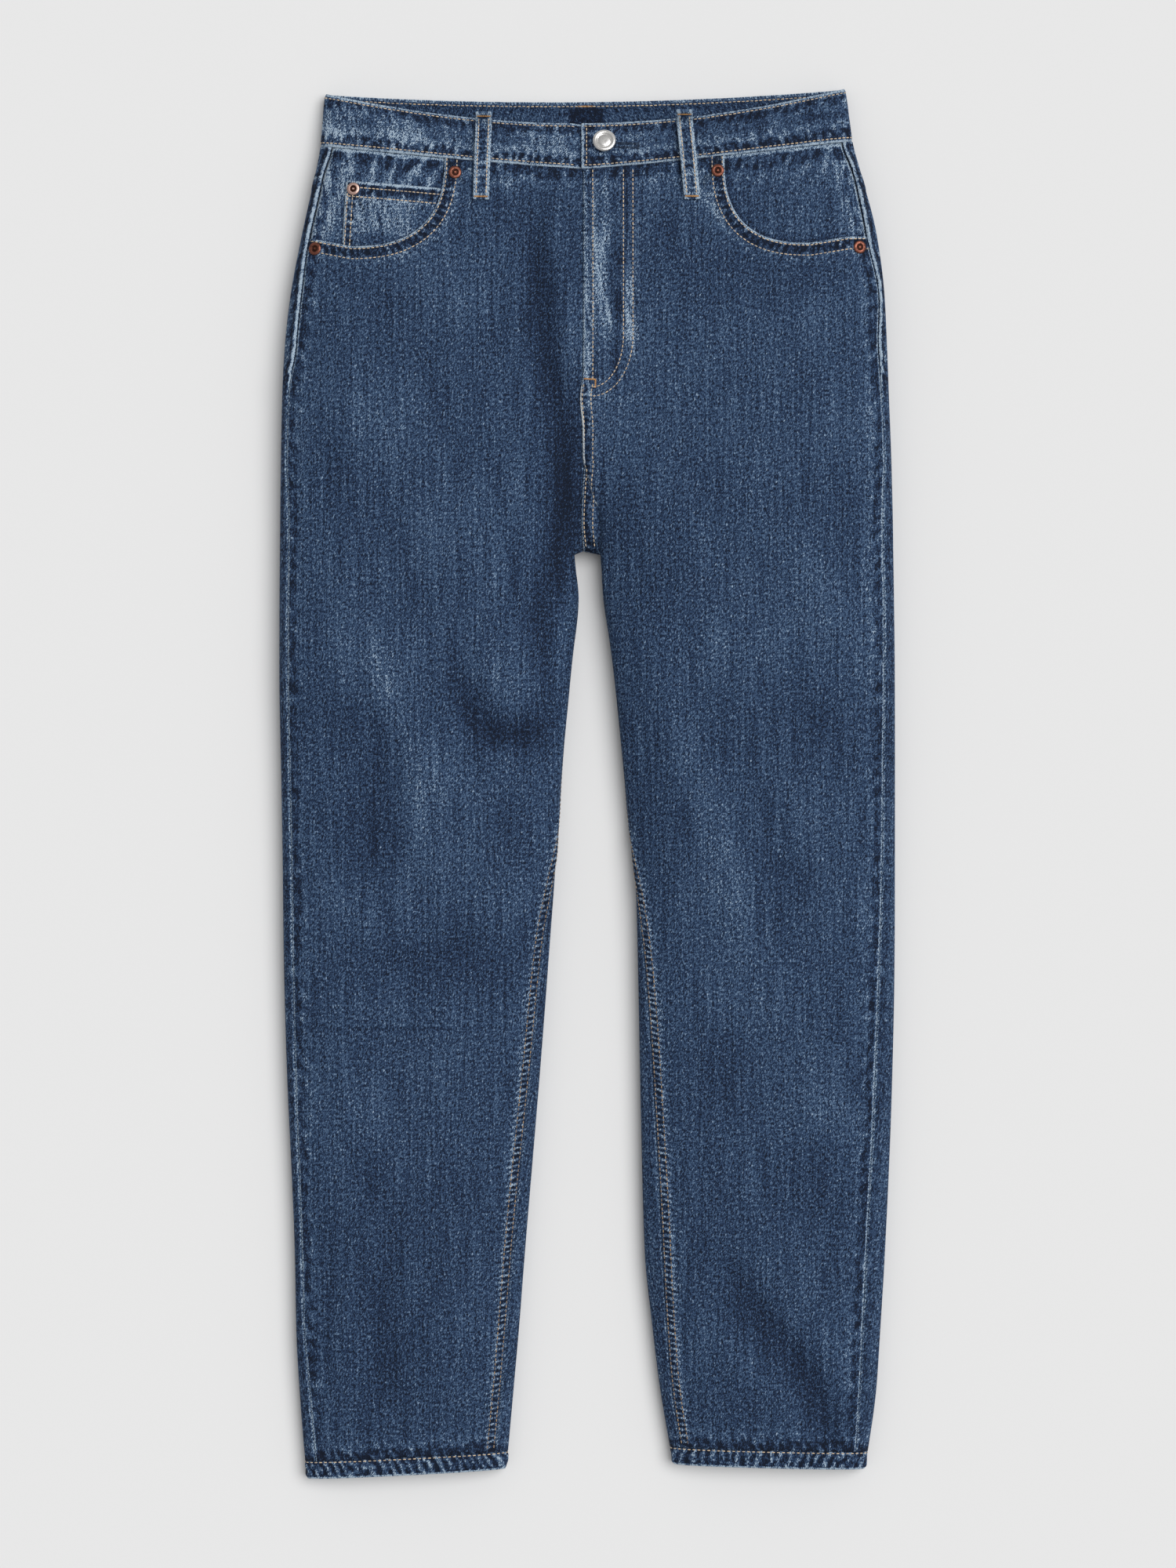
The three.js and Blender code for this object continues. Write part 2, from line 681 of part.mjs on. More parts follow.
// The yoke's seam runs from the side down to the centre back.
const YOKE_SIDE_Y = 441.5;
const YOKE_CENTRE_Y = 402;
const YOKE_SIDE_X = 202;
const PAST_CENTRE = 20;
function yokeArea(side, margin) {
  return cutter([
    [-side * PAST_CENTRE, YOKE_CENTRE_Y - margin],
    [0, YOKE_CENTRE_Y - margin],
    [side * YOKE_SIDE_X, YOKE_SIDE_Y - margin],
    [side * CUT_SIDE, YOKE_SIDE_Y - margin],
    [side * CUT_SIDE, CUT_TOP],
    [-side * PAST_CENTRE, CUT_TOP],
  ]);
}

const HIP_END = 340; // the facings and the coin pocket lie above this length
const hips = {};
for (const half of [RIGHT, LEFT]) {
  const { side, name } = half;
  const lengths = stations(PANEL_END, PANEL_TOP);
  const grids = panelGrids(half, lengths);
  const whole = solidOf(
    clothWall(grids.front, side, { normals: grids.frontNormals }),
  );
  const frontCut = whole.subtract(scoop(POCKETS[name], 0));
  add("front_" + name, geometryOf(largest(frontCut)), denim);
  const backWall = solidOf(
    clothWall(grids.back, side, { normals: grids.backNormals }),
  );
  const backCut = backWall.subtract(yokeArea(side, SEAM_GAP));
  add("back_" + name, geometryOf(largest(backCut)), denim);
  const yoke = backWall.intersect(yokeArea(side, 0));
  add("yoke_" + name, geometryOf(largest(yoke)), denim);

  // The facing lies one layer below the front and runs on under its edge.
  const UNDER_FRONT = 12;
  const onHip = (_, i) => lengths[i] > HIP_END;
  hips[name] = {
    grid: grids.front.filter(onHip),
    normals: grids.frontNormals.filter(onHip),
  };
  const [top, next] = hips[name].grid;
  const CLEAR_OF_BAND = 0.06; // share of the first step of the length
  hips[name].grid[0] = top.map((p, j) => p.clone().lerp(next[j], CLEAR_OF_BAND));
  const below = { out: -(CLOTH + SEAM_GAP), normals: hips[name].normals };
  const facing = solidOf(clothWall(hips[name].grid, side, below)).intersect(
    scoop(POCKETS[name], UNDER_FRONT),
  );
  add("facing_" + name, geometryOf(largest(facing)), denim);
}

// The coin pocket lies on the wearer's right facing, inside the pocket opening.
const COIN = { top: 438, topSlope: -0.09, left: -175, leftFoot: -178.2 };
{
  const COIN_CLOTH = 1;
  const raised = -(CLOTH + SEAM_GAP) + SEAM_GAP + COIN_CLOTH;
  const { grid, normals } = hips.right;
  const wall = solidOf(
    clothWall(grid, -1, { out: raised, thick: COIN_CLOTH, normals }),
  );
  const outline = cutter([
    [COIN.leftFoot, 380],
    [-80, 380],
    [-80, COIN.top + COIN.topSlope * (-80 - COIN.left)],
    [COIN.left, COIN.top],
  ]);
  const inside = scoop(POCKETS.right, -SEAM_GAP);
  const coin = wall.intersect(outline).intersect(inside);
  add("coin_pocket", geometryOf(largest(coin)), denim);
}

// Waistband halves. The right one runs on under the left one's end, where the button joins them.
const BAND_ROWS = 3;
const BAND_COLUMNS = 28;
const BAND_LOW = BAND_BOTTOM + SEAM_GAP;
const OVERLAP = 36; // how far the right end runs under the left one
const OVERLAP_STEP = 9; // the length over which it goes down a layer
const FLY_EDGE = -3.9; // the left end's edge across
const BAND_MIDDLE = 8; // a height between the band's front and its back
const LEAST_STEP = 3; // least distance between two points of the band
function bandLine(half, v) {
  const made = section(half, v);
  return spaced(made, 0, made.line.length - 1, BAND_COLUMNS);
}
function bandLengths() {
  const list = [];
  for (let i = 0; i < BAND_ROWS; i++)
    list.push(BAND_TOP - ((BAND_TOP - BAND_LOW) * i) / (BAND_ROWS - 1));
  return list;
}
// A point of a section's line at a place across, counted from the centre front on.
function acrossAt(line, x, side) {
  let m = 0;
  while ((line[m + 1].x - x) * side < 0) m++;
  const t = (x - line[m].x) / (line[m + 1].x - line[m].x);
  return line[m].clone().lerp(line[m + 1], t);
}
{
  const lastTo = (line, side) => {
    const end = line.length - 1;
    line[end] = line[end].clone().setX((side * SEAM_GAP) / 2);
    return line;
  };
  const left = bandLengths().map((v) => {
    const line = lastTo(bandLine(LEFT, v), 1);
    line[0] = line[0].clone().setX(FLY_EDGE);
    return line;
  });
  add("waistband_left", clothWall(left, 1, { thick: BAND_CLOTH }), denim);

  const LAPS = 4;
  const lapEnd = FLY_EDGE - SEAM_GAP;
  const stepEnd = lapEnd - OVERLAP_STEP;
  const right = bandLengths().map((v) => {
    const under = [];
    const over = section(LEFT, v).line;
    for (let k = LAPS; k >= 1; k--)
      under.push(acrossAt(over, FLY_EDGE + (OVERLAP * k) / LAPS, 1));
    const line = section(RIGHT, v).line;
    under.push(acrossAt(line, lapEnd, -1), acrossAt(line, stepEnd, -1));
    const beneath = (p) => p.z < BAND_MIDDLE;
    const past = (p) => p.x < stepEnd - LEAST_STEP;
    const rest = bandLine(RIGHT, v).filter((p) => beneath(p) || past(p));
    const fill = BAND_COLUMNS - rest.length;
    for (let k = 0; k < fill; k++) {
      const end = rest.length - 1;
      rest.splice(end, 0, rest[end - 1].clone().lerp(rest[end], 0.5));
    }
    return under.concat(lastTo(rest, -1));
  });
  const lowered = (p, i, j) => (j <= LAPS ? -(BAND_CLOTH + SEAM_GAP) : 0);
  add(
    "waistband_right",
    clothWall(right, -1, { out: lowered, thick: BAND_CLOTH }),
    denim,
  );
}

// Hems: rings in line with the leg, thicker towards the inside.
const HEM_COLUMNS = 26;
for (const half of [RIGHT, LEFT]) {
  const rings = [HEM_END + HEM_DEPTH - SEAM_GAP / 2, HEM_END + 6, HEM_END];
  const grid = rings.map((v) => {
    const made = section(half, v);
    return spaced(made, 0, made.line.length - 1, HEM_COLUMNS + 1).slice(0, -1);
  });
  add(
    "hem_" + half.name,
    clothWall(grid, half.side, { thick: HEM_CLOTH, closed: true }),
    denim,
  );
}

// A point of the front's surface above a place in plan, with its outward normal.
function onTop(x, y) {
  const half = x > column(CENTRE, "x", y) ? LEFT : RIGHT;
  const out = x * half.side;
  const heightAt = (px, py) => {
    const o = px * half.side;
    let v = py;
    for (let k = 0; k < 12; k++) v += py - lengthwise(half, v, o, true);
    const { line, side } = section(half, v);
    let m = 0;
    while (m + 1 < side && line[m + 1].x * half.side < o) m++;
    const t = (px - line[m].x) / (line[m + 1].x - line[m].x);
    return line[m].z + (line[m + 1].z - line[m].z) * THREE.MathUtils.clamp(t, 0, 1);
  };
  const REACH = 3;
  const inward = Math.min(REACH, Math.abs(out));
  const z = heightAt(x, y);
  const dx = heightAt(x - half.side * inward, y) - z;
  const dy = heightAt(x, y - REACH) - z;
  const normal = new THREE.Vector3(
    (half.side * dx) / inward,
    dy / REACH,
    1,
  ).normalize();
  return { point: new THREE.Vector3(x, y, z), normal };
}

// Belt loops: doubled strips, held at their ends and standing a little proud between them.
const LOOP_WIDTH = 12;
const LOOP_CLOTH = 2.2;
const LOOP_PROUD = 2.2;
const LOOP_SEAT = 0.3;
function frontLoop(name, top, foot) {
  const ROWS = 12;
  const ACROSS = 3;
  const grid = [];
  const outs = [];
  for (let i = 0; i <= ROWS; i++) {
    const t = i / ROWS;
    const x = top[0] + (foot[0] - top[0]) * t;
    const y = top[1] + (foot[1] - top[1]) * t;
    const arch = Math.sin(Math.PI * t) ** 0.7;
    const row = [];
    for (let j = 0; j <= ACROSS; j++) {
      const offset = LOOP_WIDTH * (j / ACROSS - 0.5);
      row.push(onTop(x + offset, y).point);
    }
    grid.push(row);
    outs.push(LOOP_SEAT + LOOP_CLOTH + (LOOP_PROUD - LOOP_SEAT) * arch);
  }
  const wall = clothWall(grid, 1, {
    out: (_, i) => outs[i],
    thick: LOOP_CLOTH,
  });
  add(name, wall, denim);
}
frontLoop("loop_front_right", [-75, 485.8], [-77, 423.5]);
frontLoop("loop_front_left", [70.3, 487], [76, 423.5]);

// The back's loops and pockets lie flat under the garment.
function flatPiece(name, points, thick) {
  const shape = new THREE.Shape(points.map(([x, y]) => new THREE.Vector2(x, y)));
  const geometry = new THREE.ExtrudeGeometry(shape, {
    depth: thick,
    bevelEnabled: false,
  });
  add(name, geometry, denim);
}
const BACK_LOOP_TOP = 496.5;
const LOOP_LENGTH = 62;
for (const [name, x] of [
  ["loop_back_right", -108],
  ["loop_back_centre", 0],
  ["loop_back_left", 108],
]) {
  const a = x - LOOP_WIDTH / 2;
  const b = x + LOOP_WIDTH / 2;
  const foot = BACK_LOOP_TOP - LOOP_LENGTH;
  const outline = [
    [a, foot],
    [b, foot],
    [b, BACK_LOOP_TOP],
    [a, BACK_LOOP_TOP],
  ];
  flatPiece(name, outline, LOOP_CLOTH);
}

// Patch pocket: a straight mouth, sides that taper a little and a shallow point.
const PATCH = { mouthY: 385, cornerY: 262, pointY: 240, mouth: 68, foot: 59 };
for (const half of [RIGHT, LEFT]) {
  const middle = half.side * 100;
  const shape = [
    [middle - PATCH.foot, PATCH.cornerY],
    [middle, PATCH.pointY],
    [middle + PATCH.foot, PATCH.cornerY],
    [middle + PATCH.mouth, PATCH.mouthY],
    [middle - PATCH.mouth, PATCH.mouthY],
  ];
  flatPiece("back_pocket_" + half.name, shape, CLOTH);
}

// The fly's underlap and zip lie behind the left front, each a layer further in.
function behindFly(name, left, right, top, foot, depth, thick, material) {
  const ROWS = 8;
  const grid = [];
  for (let i = 0; i <= ROWS; i++) {
    const y = top + ((foot - top) * i) / ROWS;
    const row = [];
    for (let j = 0; j <= 4; j++) {
      const x = left + ((right - left) * j) / 4;
      const clear = Math.max(x, column(CENTRE, "x", y) + 0.2);
      const p = onTop(clear, y).point;
      row.push(p.setX(x));
    }
    grid.push(row);
  }
  const wall = clothWall(grid, 1, { out: -depth, thick });
  add(name, wall, material);
}
const FLY_TOP = 441;
const FLY_FOOT = 292;
behindFly("fly_zip", 2, 26, FLY_TOP, FLY_FOOT, 1.65, 1, denimDark);
behindFly("fly_shield", -10, 36, FLY_TOP, FLY_FOOT, 2.95, CLOTH, denim);

// Metal: a shank button and rivets, turned shapes that stand square on the cloth.
function turned(profile, segments) {
  const points = profile.map(([r, z]) => new THREE.Vector2(r, z));
  const geometry = new THREE.LatheGeometry(points, segments);
  geometry.rotateX(Math.PI / 2);
  return geometry;
}
function seat(name, geometry, material, x, y, clearance) {
  const { point, normal } = onTop(x, y);
  const mesh = add(name, geometry, material);
  mesh.quaternion.setFromUnitVectors(new THREE.Vector3(0, 0, 1), normal);
  mesh.position.copy(point).addScaledVector(normal, clearance);
}
const BUTTON_R = 8.5;
const BUTTON = [
  [0, 0],
  [4, 0],
  [4.6, 1.6],
  [BUTTON_R - 0.6, 1.9],
  [BUTTON_R, 2.6],
  [BUTTON_R - 0.3, 3.5],
  [BUTTON_R - 1.6, 4.1],
  [4.9, 3.5],
  [4.3, 3.0],
  [0, 3.2],
];
seat("button", turned(BUTTON, 24), nickel, 12.5, 466, 0.45);
const RIVET = [
  [0, 0],
  [4.7, 0],
  [4.7, 0.5],
  [3.9, 1.1],
  [2.1, 1.2],
  [1.6, 0.8],
  [1.2, 1.0],
  [0, 1.1],
];
const RIVETS = [
  { x: -95.8, y: 443.5, lift: 0.2 },
  { x: -197.4, y: 388.3, lift: 0.25 },
  { x: -169.6, y: 431.6, lift: 0.1 },
  { x: 94.6, y: 444.5, lift: 0.2 },
  { x: 197.6, y: 389.5, lift: 0.3 },
];
RIVETS.forEach((r, k) =>
  seat("rivet_" + (k + 1), turned(RIVET, 12), copper, r.x, r.y, r.lift),
);

export default jeans;
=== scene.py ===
"""High-waisted tapered jeans, laid flat with the front up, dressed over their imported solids.

Sizes are in millimetres until a mesh is made. X runs towards the wearer's left, Y up to the waist and Z up
from the surface. "Out" is a distance from X = 0 towards a half's own side.
"""

from __future__ import annotations

import logging
import math
from collections.abc import Callable, Iterable, Sequence
from dataclasses import dataclass, field
from enum import Enum
from typing import NamedTuple

import bpy
import numpy as np
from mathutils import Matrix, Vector
from mathutils.bvhtree import BVHTree


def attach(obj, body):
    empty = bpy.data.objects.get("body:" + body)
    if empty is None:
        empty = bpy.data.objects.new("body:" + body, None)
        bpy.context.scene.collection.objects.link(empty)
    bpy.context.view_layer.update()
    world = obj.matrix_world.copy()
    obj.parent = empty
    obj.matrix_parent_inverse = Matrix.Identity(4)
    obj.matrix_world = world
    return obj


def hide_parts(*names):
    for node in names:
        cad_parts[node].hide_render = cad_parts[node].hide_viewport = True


for start_up in ("Cube", "Light", "Camera"):
    if start_up in bpy.data.objects:
        bpy.data.objects.remove(bpy.data.objects[start_up])

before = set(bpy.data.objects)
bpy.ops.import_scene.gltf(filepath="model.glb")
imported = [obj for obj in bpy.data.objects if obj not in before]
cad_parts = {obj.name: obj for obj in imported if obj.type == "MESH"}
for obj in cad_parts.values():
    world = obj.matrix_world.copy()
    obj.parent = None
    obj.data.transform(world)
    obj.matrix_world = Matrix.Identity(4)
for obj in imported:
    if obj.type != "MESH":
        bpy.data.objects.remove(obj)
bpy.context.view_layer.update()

log = logging.getLogger("jeans")
Array = np.ndarray
PlanField = Callable[[Array, Array], Array]
Line = tuple[Array, Array]
Size = tuple[float, float, float]
Settings = dict | None

MM = 0.001
TINY = 1e-9
CYCLE = 6.283
CLOTH = 1.2
SEAM_GAP = 0.3
HALF_GAP = SEAM_GAP / 2
BAND_CLOTH = 2.4
HEM_CLOTH = 3.0
HEM_DEPTH = 13.0
BAND_TOP = 504.8
BAND_BOTTOM = 465.7
HEM_END = -506.0
CROTCH = 168.0
TILT = 0.01
TILT_FADE = 300.0
EDGE_HEIGHT = 0.45
UNDER_TURN = 0.5
CROWN_POWER = 2.8
STEP_ALONG = 16.0
STEP_TURN = math.radians(20)
BACK_BOW = 2.0
HEM_FADE = -280.0
FINE = 48
VALLEY_POINTS = 4
VALLEY_LEAST = 0.5
VALLEY_FADE = 32.0
FOLD_END = 22.0
PANEL_TOP = BAND_BOTTOM - HALF_GAP
PANEL_END = HEM_END + HEM_DEPTH + HALF_GAP
WELT_FOOT = (276.0, 292.0)
UP = np.array([0, 0, 1.0])


def smooth(low: float, high: float, value: Array | float) -> Array:
    """0 below low, 1 above high and a smooth step between them."""
    t = np.clip((np.asarray(value, float) - low) / (high - low), 0, 1)
    return t * t * (3 - 2 * t)


def unit(vectors: Array) -> Array:
    """The vectors at length 1."""
    return vectors / np.maximum(np.linalg.norm(vectors, axis=-1, keepdims=True), TINY)


def bell(distance: Array, width: float) -> Array:
    """1 in the middle and nearly 0 beyond twice the width."""
    return np.exp(-((distance / width) ** 2))


def plateau(distance: Array, start: float, end: float, turn: float) -> Array:
    """1 between start and end, with soft edges a turn wide."""
    return smooth(start - turn, start, distance) * (1 - smooth(end, end + turn, distance))


def reach_of(line: Array) -> Array:
    """How far along a line, or along each row of a grid, the points are."""
    steps = np.linalg.norm(np.diff(line, axis=-2), axis=-1)
    return np.concatenate([np.zeros((*steps.shape[:-1], 1)), np.cumsum(steps, axis=-1)], axis=-1)


def drawn(places: Array | float, reach: Array, line: Array) -> Array:
    """A line's points at distances along it."""
    return np.stack([np.interp(places, reach, column) for column in line.T], axis=-1)


def evenly(line: Array, count: int) -> Array:
    """A line's points spaced evenly along it."""
    reach = reach_of(line)
    return drawn(np.linspace(0, reach[-1], count), reach, line)


def circle(count: int) -> Array:
    """Angles evenly round a turn."""
    return 2 * math.pi * np.arange(count) / count


def starts_of(counts: Array) -> Array:
    """Where each of several runs starts when they follow one another."""
    return np.concatenate([[0], np.cumsum(counts)[:-1]])


class Profile:
    """A size along the garment's length, joined through its rows without overshooting."""

    def __init__(self, lengths: Sequence[float], values: Sequence[float]) -> None:
        """Keeps the values at their lengths, from the lowest up."""
        order = np.argsort(lengths)
        self.x = np.asarray(lengths, float)[order]
        self.y = np.asarray(values, float)[order]
        slope = np.diff(self.y) / np.diff(self.x)
        both = slope[:-1] * slope[1:]
        inner = np.where(both > 0, 2 * both / np.where(both > 0, slope[:-1] + slope[1:], 1), 0)
        self.slope = np.concatenate([slope[:1], inner, slope[-1:]])

    def at(self, length: Array | float) -> Array:
        """The size at a length or at several."""
        v = np.clip(length, self.x[0], self.x[-1])
        i = np.clip(np.searchsorted(self.x, v, side="right") - 1, 0, len(self.x) - 2)
        h = self.x[i + 1] - self.x[i]
        t = (v - self.x[i]) / h
        s = 1 - t
        ends = self.y[i] * (1 + 2 * t) * s * s + self.y[i + 1] * t * t * (3 - 2 * t)
        return ends + (self.slope[i] * s - self.slope[i + 1] * t) * h * t * s


def profiles(names: str, *rows: tuple[float, ...]) -> dict[str, Profile]:
    """A profile for each named column of a table whose first column is the length."""
    lengths, *columns = zip(*rows)
    return {name: Profile(lengths, column) for name, column in zip(names.split(), columns)}


GARMENT = profiles(
    "thick rest dip_front dip_back bow",
    (505, 16, 2.5, 23.8, 7.2, 2.0), (466, 25, 2.5, 19.4, 6.4, 1.2), (425, 29, 2.5, 13, 3.5, 1.2),
    (398, 31, 1.5, 8, 2, 1.2), (300, 34, 1.5, 0, 0, 1.2), (218, 34.5, 1.5, 0, 0, 1.2),
    (190, 34.5, 0, 0, 0, 1.2), (90, 34, 0, 0, 0, 1.2), (0, 31.5, 0, 0, 0, 1.2), (-150, 28.5, 0, 0, 0, 1.2),
    (-300, 26, 0, 0, 0, 1.2), (-430, 24, 0, 0, 0, 1.2), (-506, 21, 0, 0, 0, 1.2),
)
CENTRE = profiles(
    "x front back",
    (446, -2.9, 1, 0), (300, -3, 1, 0), (279, -4.4, 0.96, 0), (258, -2.4, 0.9, 0.01), (236, -2, 0.8, 0.05),
    (214, -3.4, 0.64, 0.12), (190, -4.4, 0.28, 0.5), (168, -2.5, 0, 1),
)
EDGES = "outer inner side_seam inseam"
RIGHT_EDGES = profiles(
    EDGES,
    (505, 191, 0, 9, 0), (464, 194.6, 0, 8.8, 0), (443, 198.6, 0, 6.5, 0), (397, 208.4, 0, 6.5, 0),
    (355, 216, 0, 8.6, 0), (318, 220, 0, 9, 0), (284, 221.8, 0, 5, 0), (236, 222.8, 2, 4.5, 0),
    (214, 223.1, 5, 5.5, 0), (190, 223.4, 9, 6.5, 0), (168, 223.6, 9.6, 6.5, 0), (155, 223.7, 8.6, 6.5, 0),
    (135, 223.9, 6.9, 6.5, -7), (80, 224, 11.8, 6.5, -13), (0, 222.6, 19.2, 6.5, -10),
    (-66, 221.6, 23.5, 6.8, 2), (-116, 221.1, 27.2, 7, 8), (-194, 219.2, 33.1, 6.6, 10),
    (-342, 213, 45.3, 5.5, 12.3), (-400, 211.9, 49.6, 6.1, 12.3), (-447, 209.2, 53.6, 7.8, 12),
    (-506, 204.5, 58.8, 8, 12),
)
LEFT_EDGES = profiles(
    EDGES,
    (505, 188, -8, 8, 0), (464, 193.6, -8, 8, 0), (443, 199.2, -8, 6, 0), (397, 210.9, -8, 8, 0),
    (355, 216.3, -8, 4.5, 0), (318, 218.1, -8, 6.8, 0), (284, 219.4, -8, 5.8, 0), (236, 221.2, -2, 5.5, 0),
    (214, 221.8, 4, 7, 0), (190, 222.4, 9.5, 8, 0), (168, 222.7, 10, 8.1, 0), (155, 222.9, 10.9, 8, 0),
    (135, 223.2, 12.4, 7.8, -7), (80, 223.8, 19.3, 8.3, -14), (0, 224, 27.4, 9.3, -11),
    (-82, 224, 35.6, 10.3, 2.5), (-137, 223.7, 37, 12, 8.5), (-228, 221.7, 38.8, 13.4, 13),
    (-342, 216.9, 41.8, 14.2, 16), (-400, 213.6, 47.3, 13.6, 13.3), (-447, 210.6, 52.7, 12.6, 11.4),
    (-506, 202.6, 62.4, 8.2, 10),
)


@dataclass(frozen=True)
class Half:
    """The wearer's right or left half of the jeans."""

    name: str
    side: int
    hem_raise: float
    hem_slope: float
    edges: dict[str, Profile]

    def along(self, v: float, out: Array, front: bool) -> Array:
        """Where a place of the flat cut lies along the surface.

        Args:
            v: The place's length on the cut.
            out: Its distance out.
            front: Whether it is on the front.

        Returns:
            Its Y.
        """
        outer = self.edges["outer"].at(v)
        bow = GARMENT["bow"].at(v) if front else BACK_BOW
        dip = GARMENT["dip_front" if front else "dip_back"].at(v)
        sunk = dip * (1 - np.abs(np.minimum(out / outer, 1)) ** bow)
        raised = smooth(-HEM_FADE, -HEM_END, -v) * (self.hem_raise - self.hem_slope * (outer - out))
        return v - sunk + TILT * self.side * out * smooth(TILT_FADE, BAND_BOTTOM, v) + raised


RIGHT = Half("right", -1, 0, -0.05, RIGHT_EDGES)
LEFT = Half("left", 1, 7, -0.025, LEFT_EDGES)
HALVES = (RIGHT, LEFT)


class Section:
    """One half's line at a length, from the centre front over the top, round the side and back underneath."""

    def __init__(self, half: Half, v: float) -> None:
        """Draws the half's line at a length on the cut."""
        self.half, self.v = half, v
        self.open = v >= CROTCH
        self.outer = float(half.edges["outer"].at(v))
        thick, rest = float(GARMENT["thick"].at(v)), float(GARMENT["rest"].at(v))
        free = float(half.edges["inner"].at(v))
        centre = half.side * float(CENTRE["x"].at(v)) if self.open else free
        self.inner = max(free, centre)
        edge = rest + EDGE_HEIGHT * (thick - rest)
        layer = CLOTH + HALF_GAP
        floor = roof = edge
        if self.open:
            floor = edge + layer + float(CENTRE["front"].at(v)) * (thick - edge - layer)
            roof = rest + float(CENTRE["back"].at(v)) * (edge - layer - rest)
        self.thick, self.rest, self.edge = thick, rest, edge
        middle, width = (self.inner + self.outer) / 2, (self.outer - self.inner) / 2
        under = UNDER_TURN * (thick - rest)
        quarter = math.pi / 2 * np.arange(FINE + 1) / FINE
        crown = np.sin(quarter) ** (2 / CROWN_POWER)
        top_in = (middle - width * crown[::-1], floor + (thick - floor) * np.cos(quarter[::-1]))
        top_out = (middle + width * crown[1:], edge + (thick - edge) * np.cos(quarter[1:]))
        turned = (self.outer - under * (1 - np.cos(quarter[1:])), edge - (edge - rest) * np.sin(quarter[1:]))
        turn = max(under * min((roof - rest) / (edge - rest), 1), VALLEY_LEAST)
        flat = self.outer - under - (self.inner + turn)
        level = (self.outer - under - flat * np.arange(1, FINE) / FINE, np.full(FINE - 1, rest))
        back_in = (self.inner + turn * (1 - np.sin(quarter)), roof - (roof - rest) * np.cos(quarter))
        front, back = [top_in, top_out], [turned, level, back_in]
        if self.open and self.inner - centre > VALLEY_LEAST:
            across = centre + (self.inner - centre) * np.arange(VALLEY_POINTS) / VALLEY_POINTS
            front.insert(0, (across, np.full(VALLEY_POINTS, floor)))
            back.append((across[::-1], np.full(VALLEY_POINTS, roof)))
        lines = []
        for parts, on_front in ((front, True), (back, False)):
            out, z = np.concatenate(parts, axis=1)
            lines.append(np.stack([half.side * out, half.along(v, out, on_front), z], axis=1))
        self.side = len(lines[0]) - 1
        self.points = np.concatenate(lines)
        self.last = len(self.points) - 1

    def at(self, place: float, line: Array) -> Array:
        """The point at a place counted in points of a line."""
        k = min(int(place), len(line) - 2)
        return line[k] + (line[k + 1] - line[k]) * (place - k)

    def side_seam(self) -> float:
        """The side seam's place on the front."""
        out = self.outer - float(self.half.edges["side_seam"].at(self.v))
        outs = self.points[: self.side + 1, 0] * self.half.side
        k = int(np.clip(np.searchsorted(outs, out), 1, self.side))
        return k - 1 + (out - outs[k - 1]) / max(outs[k] - outs[k - 1], TINY)

    def inseam(self) -> float:
        """The inseam's place: the start on the hips, else so much girth from the inner edge."""
        if self.open:
            return 0.0
        wanted = float(self.half.edges["inseam"].at(self.v))
        gone = reach_of(self.points[::-1] if wanted < 0 else self.points)
        k = int(np.searchsorted(gone, abs(wanted), side="right")) - 1
        place = k + (abs(wanted) - gone[k]) / max(gone[k + 1] - gone[k], TINY)
        return self.last - place if wanted < 0 else place

    def spaced(self, start: float, end: float, count: int) -> Array:
        """So many points between two places, closer together where the line turns outwards.

        Args:
            start: The first place.
            end: The last place, which may lie past the line's end on a leg.
            count: How many points.

        Returns:
            The points.
        """
        line = self.points if self.open else np.concatenate([self.points, self.points[1:]])
        between = line[int(start) + 1 : math.ceil(end)]
        points = np.concatenate([[self.at(start, line)], between, [self.at(end, line)]])
        step = np.diff(points, axis=0)
        length = np.linalg.norm(step, axis=1)
        before, after = step[:-1], step[1:]
        outwards = (before[:, 2] * after[:, 0] - before[:, 0] * after[:, 2]) * self.half.side > 0
        cosine = (unit(before) * unit(after)).sum(axis=1)
        real = (length[:-1] > TINY) & (length[1:] > TINY)
        turn = np.append(np.where(outwards & real, np.arccos(np.clip(cosine, -1, 1)), 0), 0)
        valley = float(smooth(CROTCH, CROTCH + VALLEY_FADE, self.v)) if self.open else 1.0
        share = np.where(points[1:, 0] * self.half.side <= self.inner + TINY, valley, 1.0)
        cost = np.concatenate([[0], np.cumsum(length * share / STEP_ALONG + turn / STEP_TURN)])
        want = np.linspace(0, cost[-1], count)
        k = np.clip(np.searchsorted(cost, want, side="right") - 1, 0, len(cost) - 2)
        t = np.clip((want - cost[k]) / np.maximum(cost[k + 1] - cost[k], TINY), 0, 1)
        return points[k] + (points[k + 1] - points[k]) * t[:, None]

    def front(self, count: int) -> Array:
        """The front's line from the centre or the inseam to the side seam."""
        seam, side = self.inseam(), self.side_seam()
        return self.spaced(seam, side if seam < self.side else side + self.last, count)

    def back(self, count: int) -> Array:
        """The back's line from the side seam round to the centre or the inseam."""
        seam, side = self.inseam(), self.side_seam()
        if self.open:
            return self.spaced(side, self.last, count)
        return self.spaced(side, seam if seam > self.side else seam + self.last, count)


class Fold(NamedTuple):
    """A soft trough in the cloth, or a ridge where its depth is negative."""

    place: str
    width: float
    depth: float
    path: tuple[tuple[float, float, float], ...]
    lean: float = 0.0


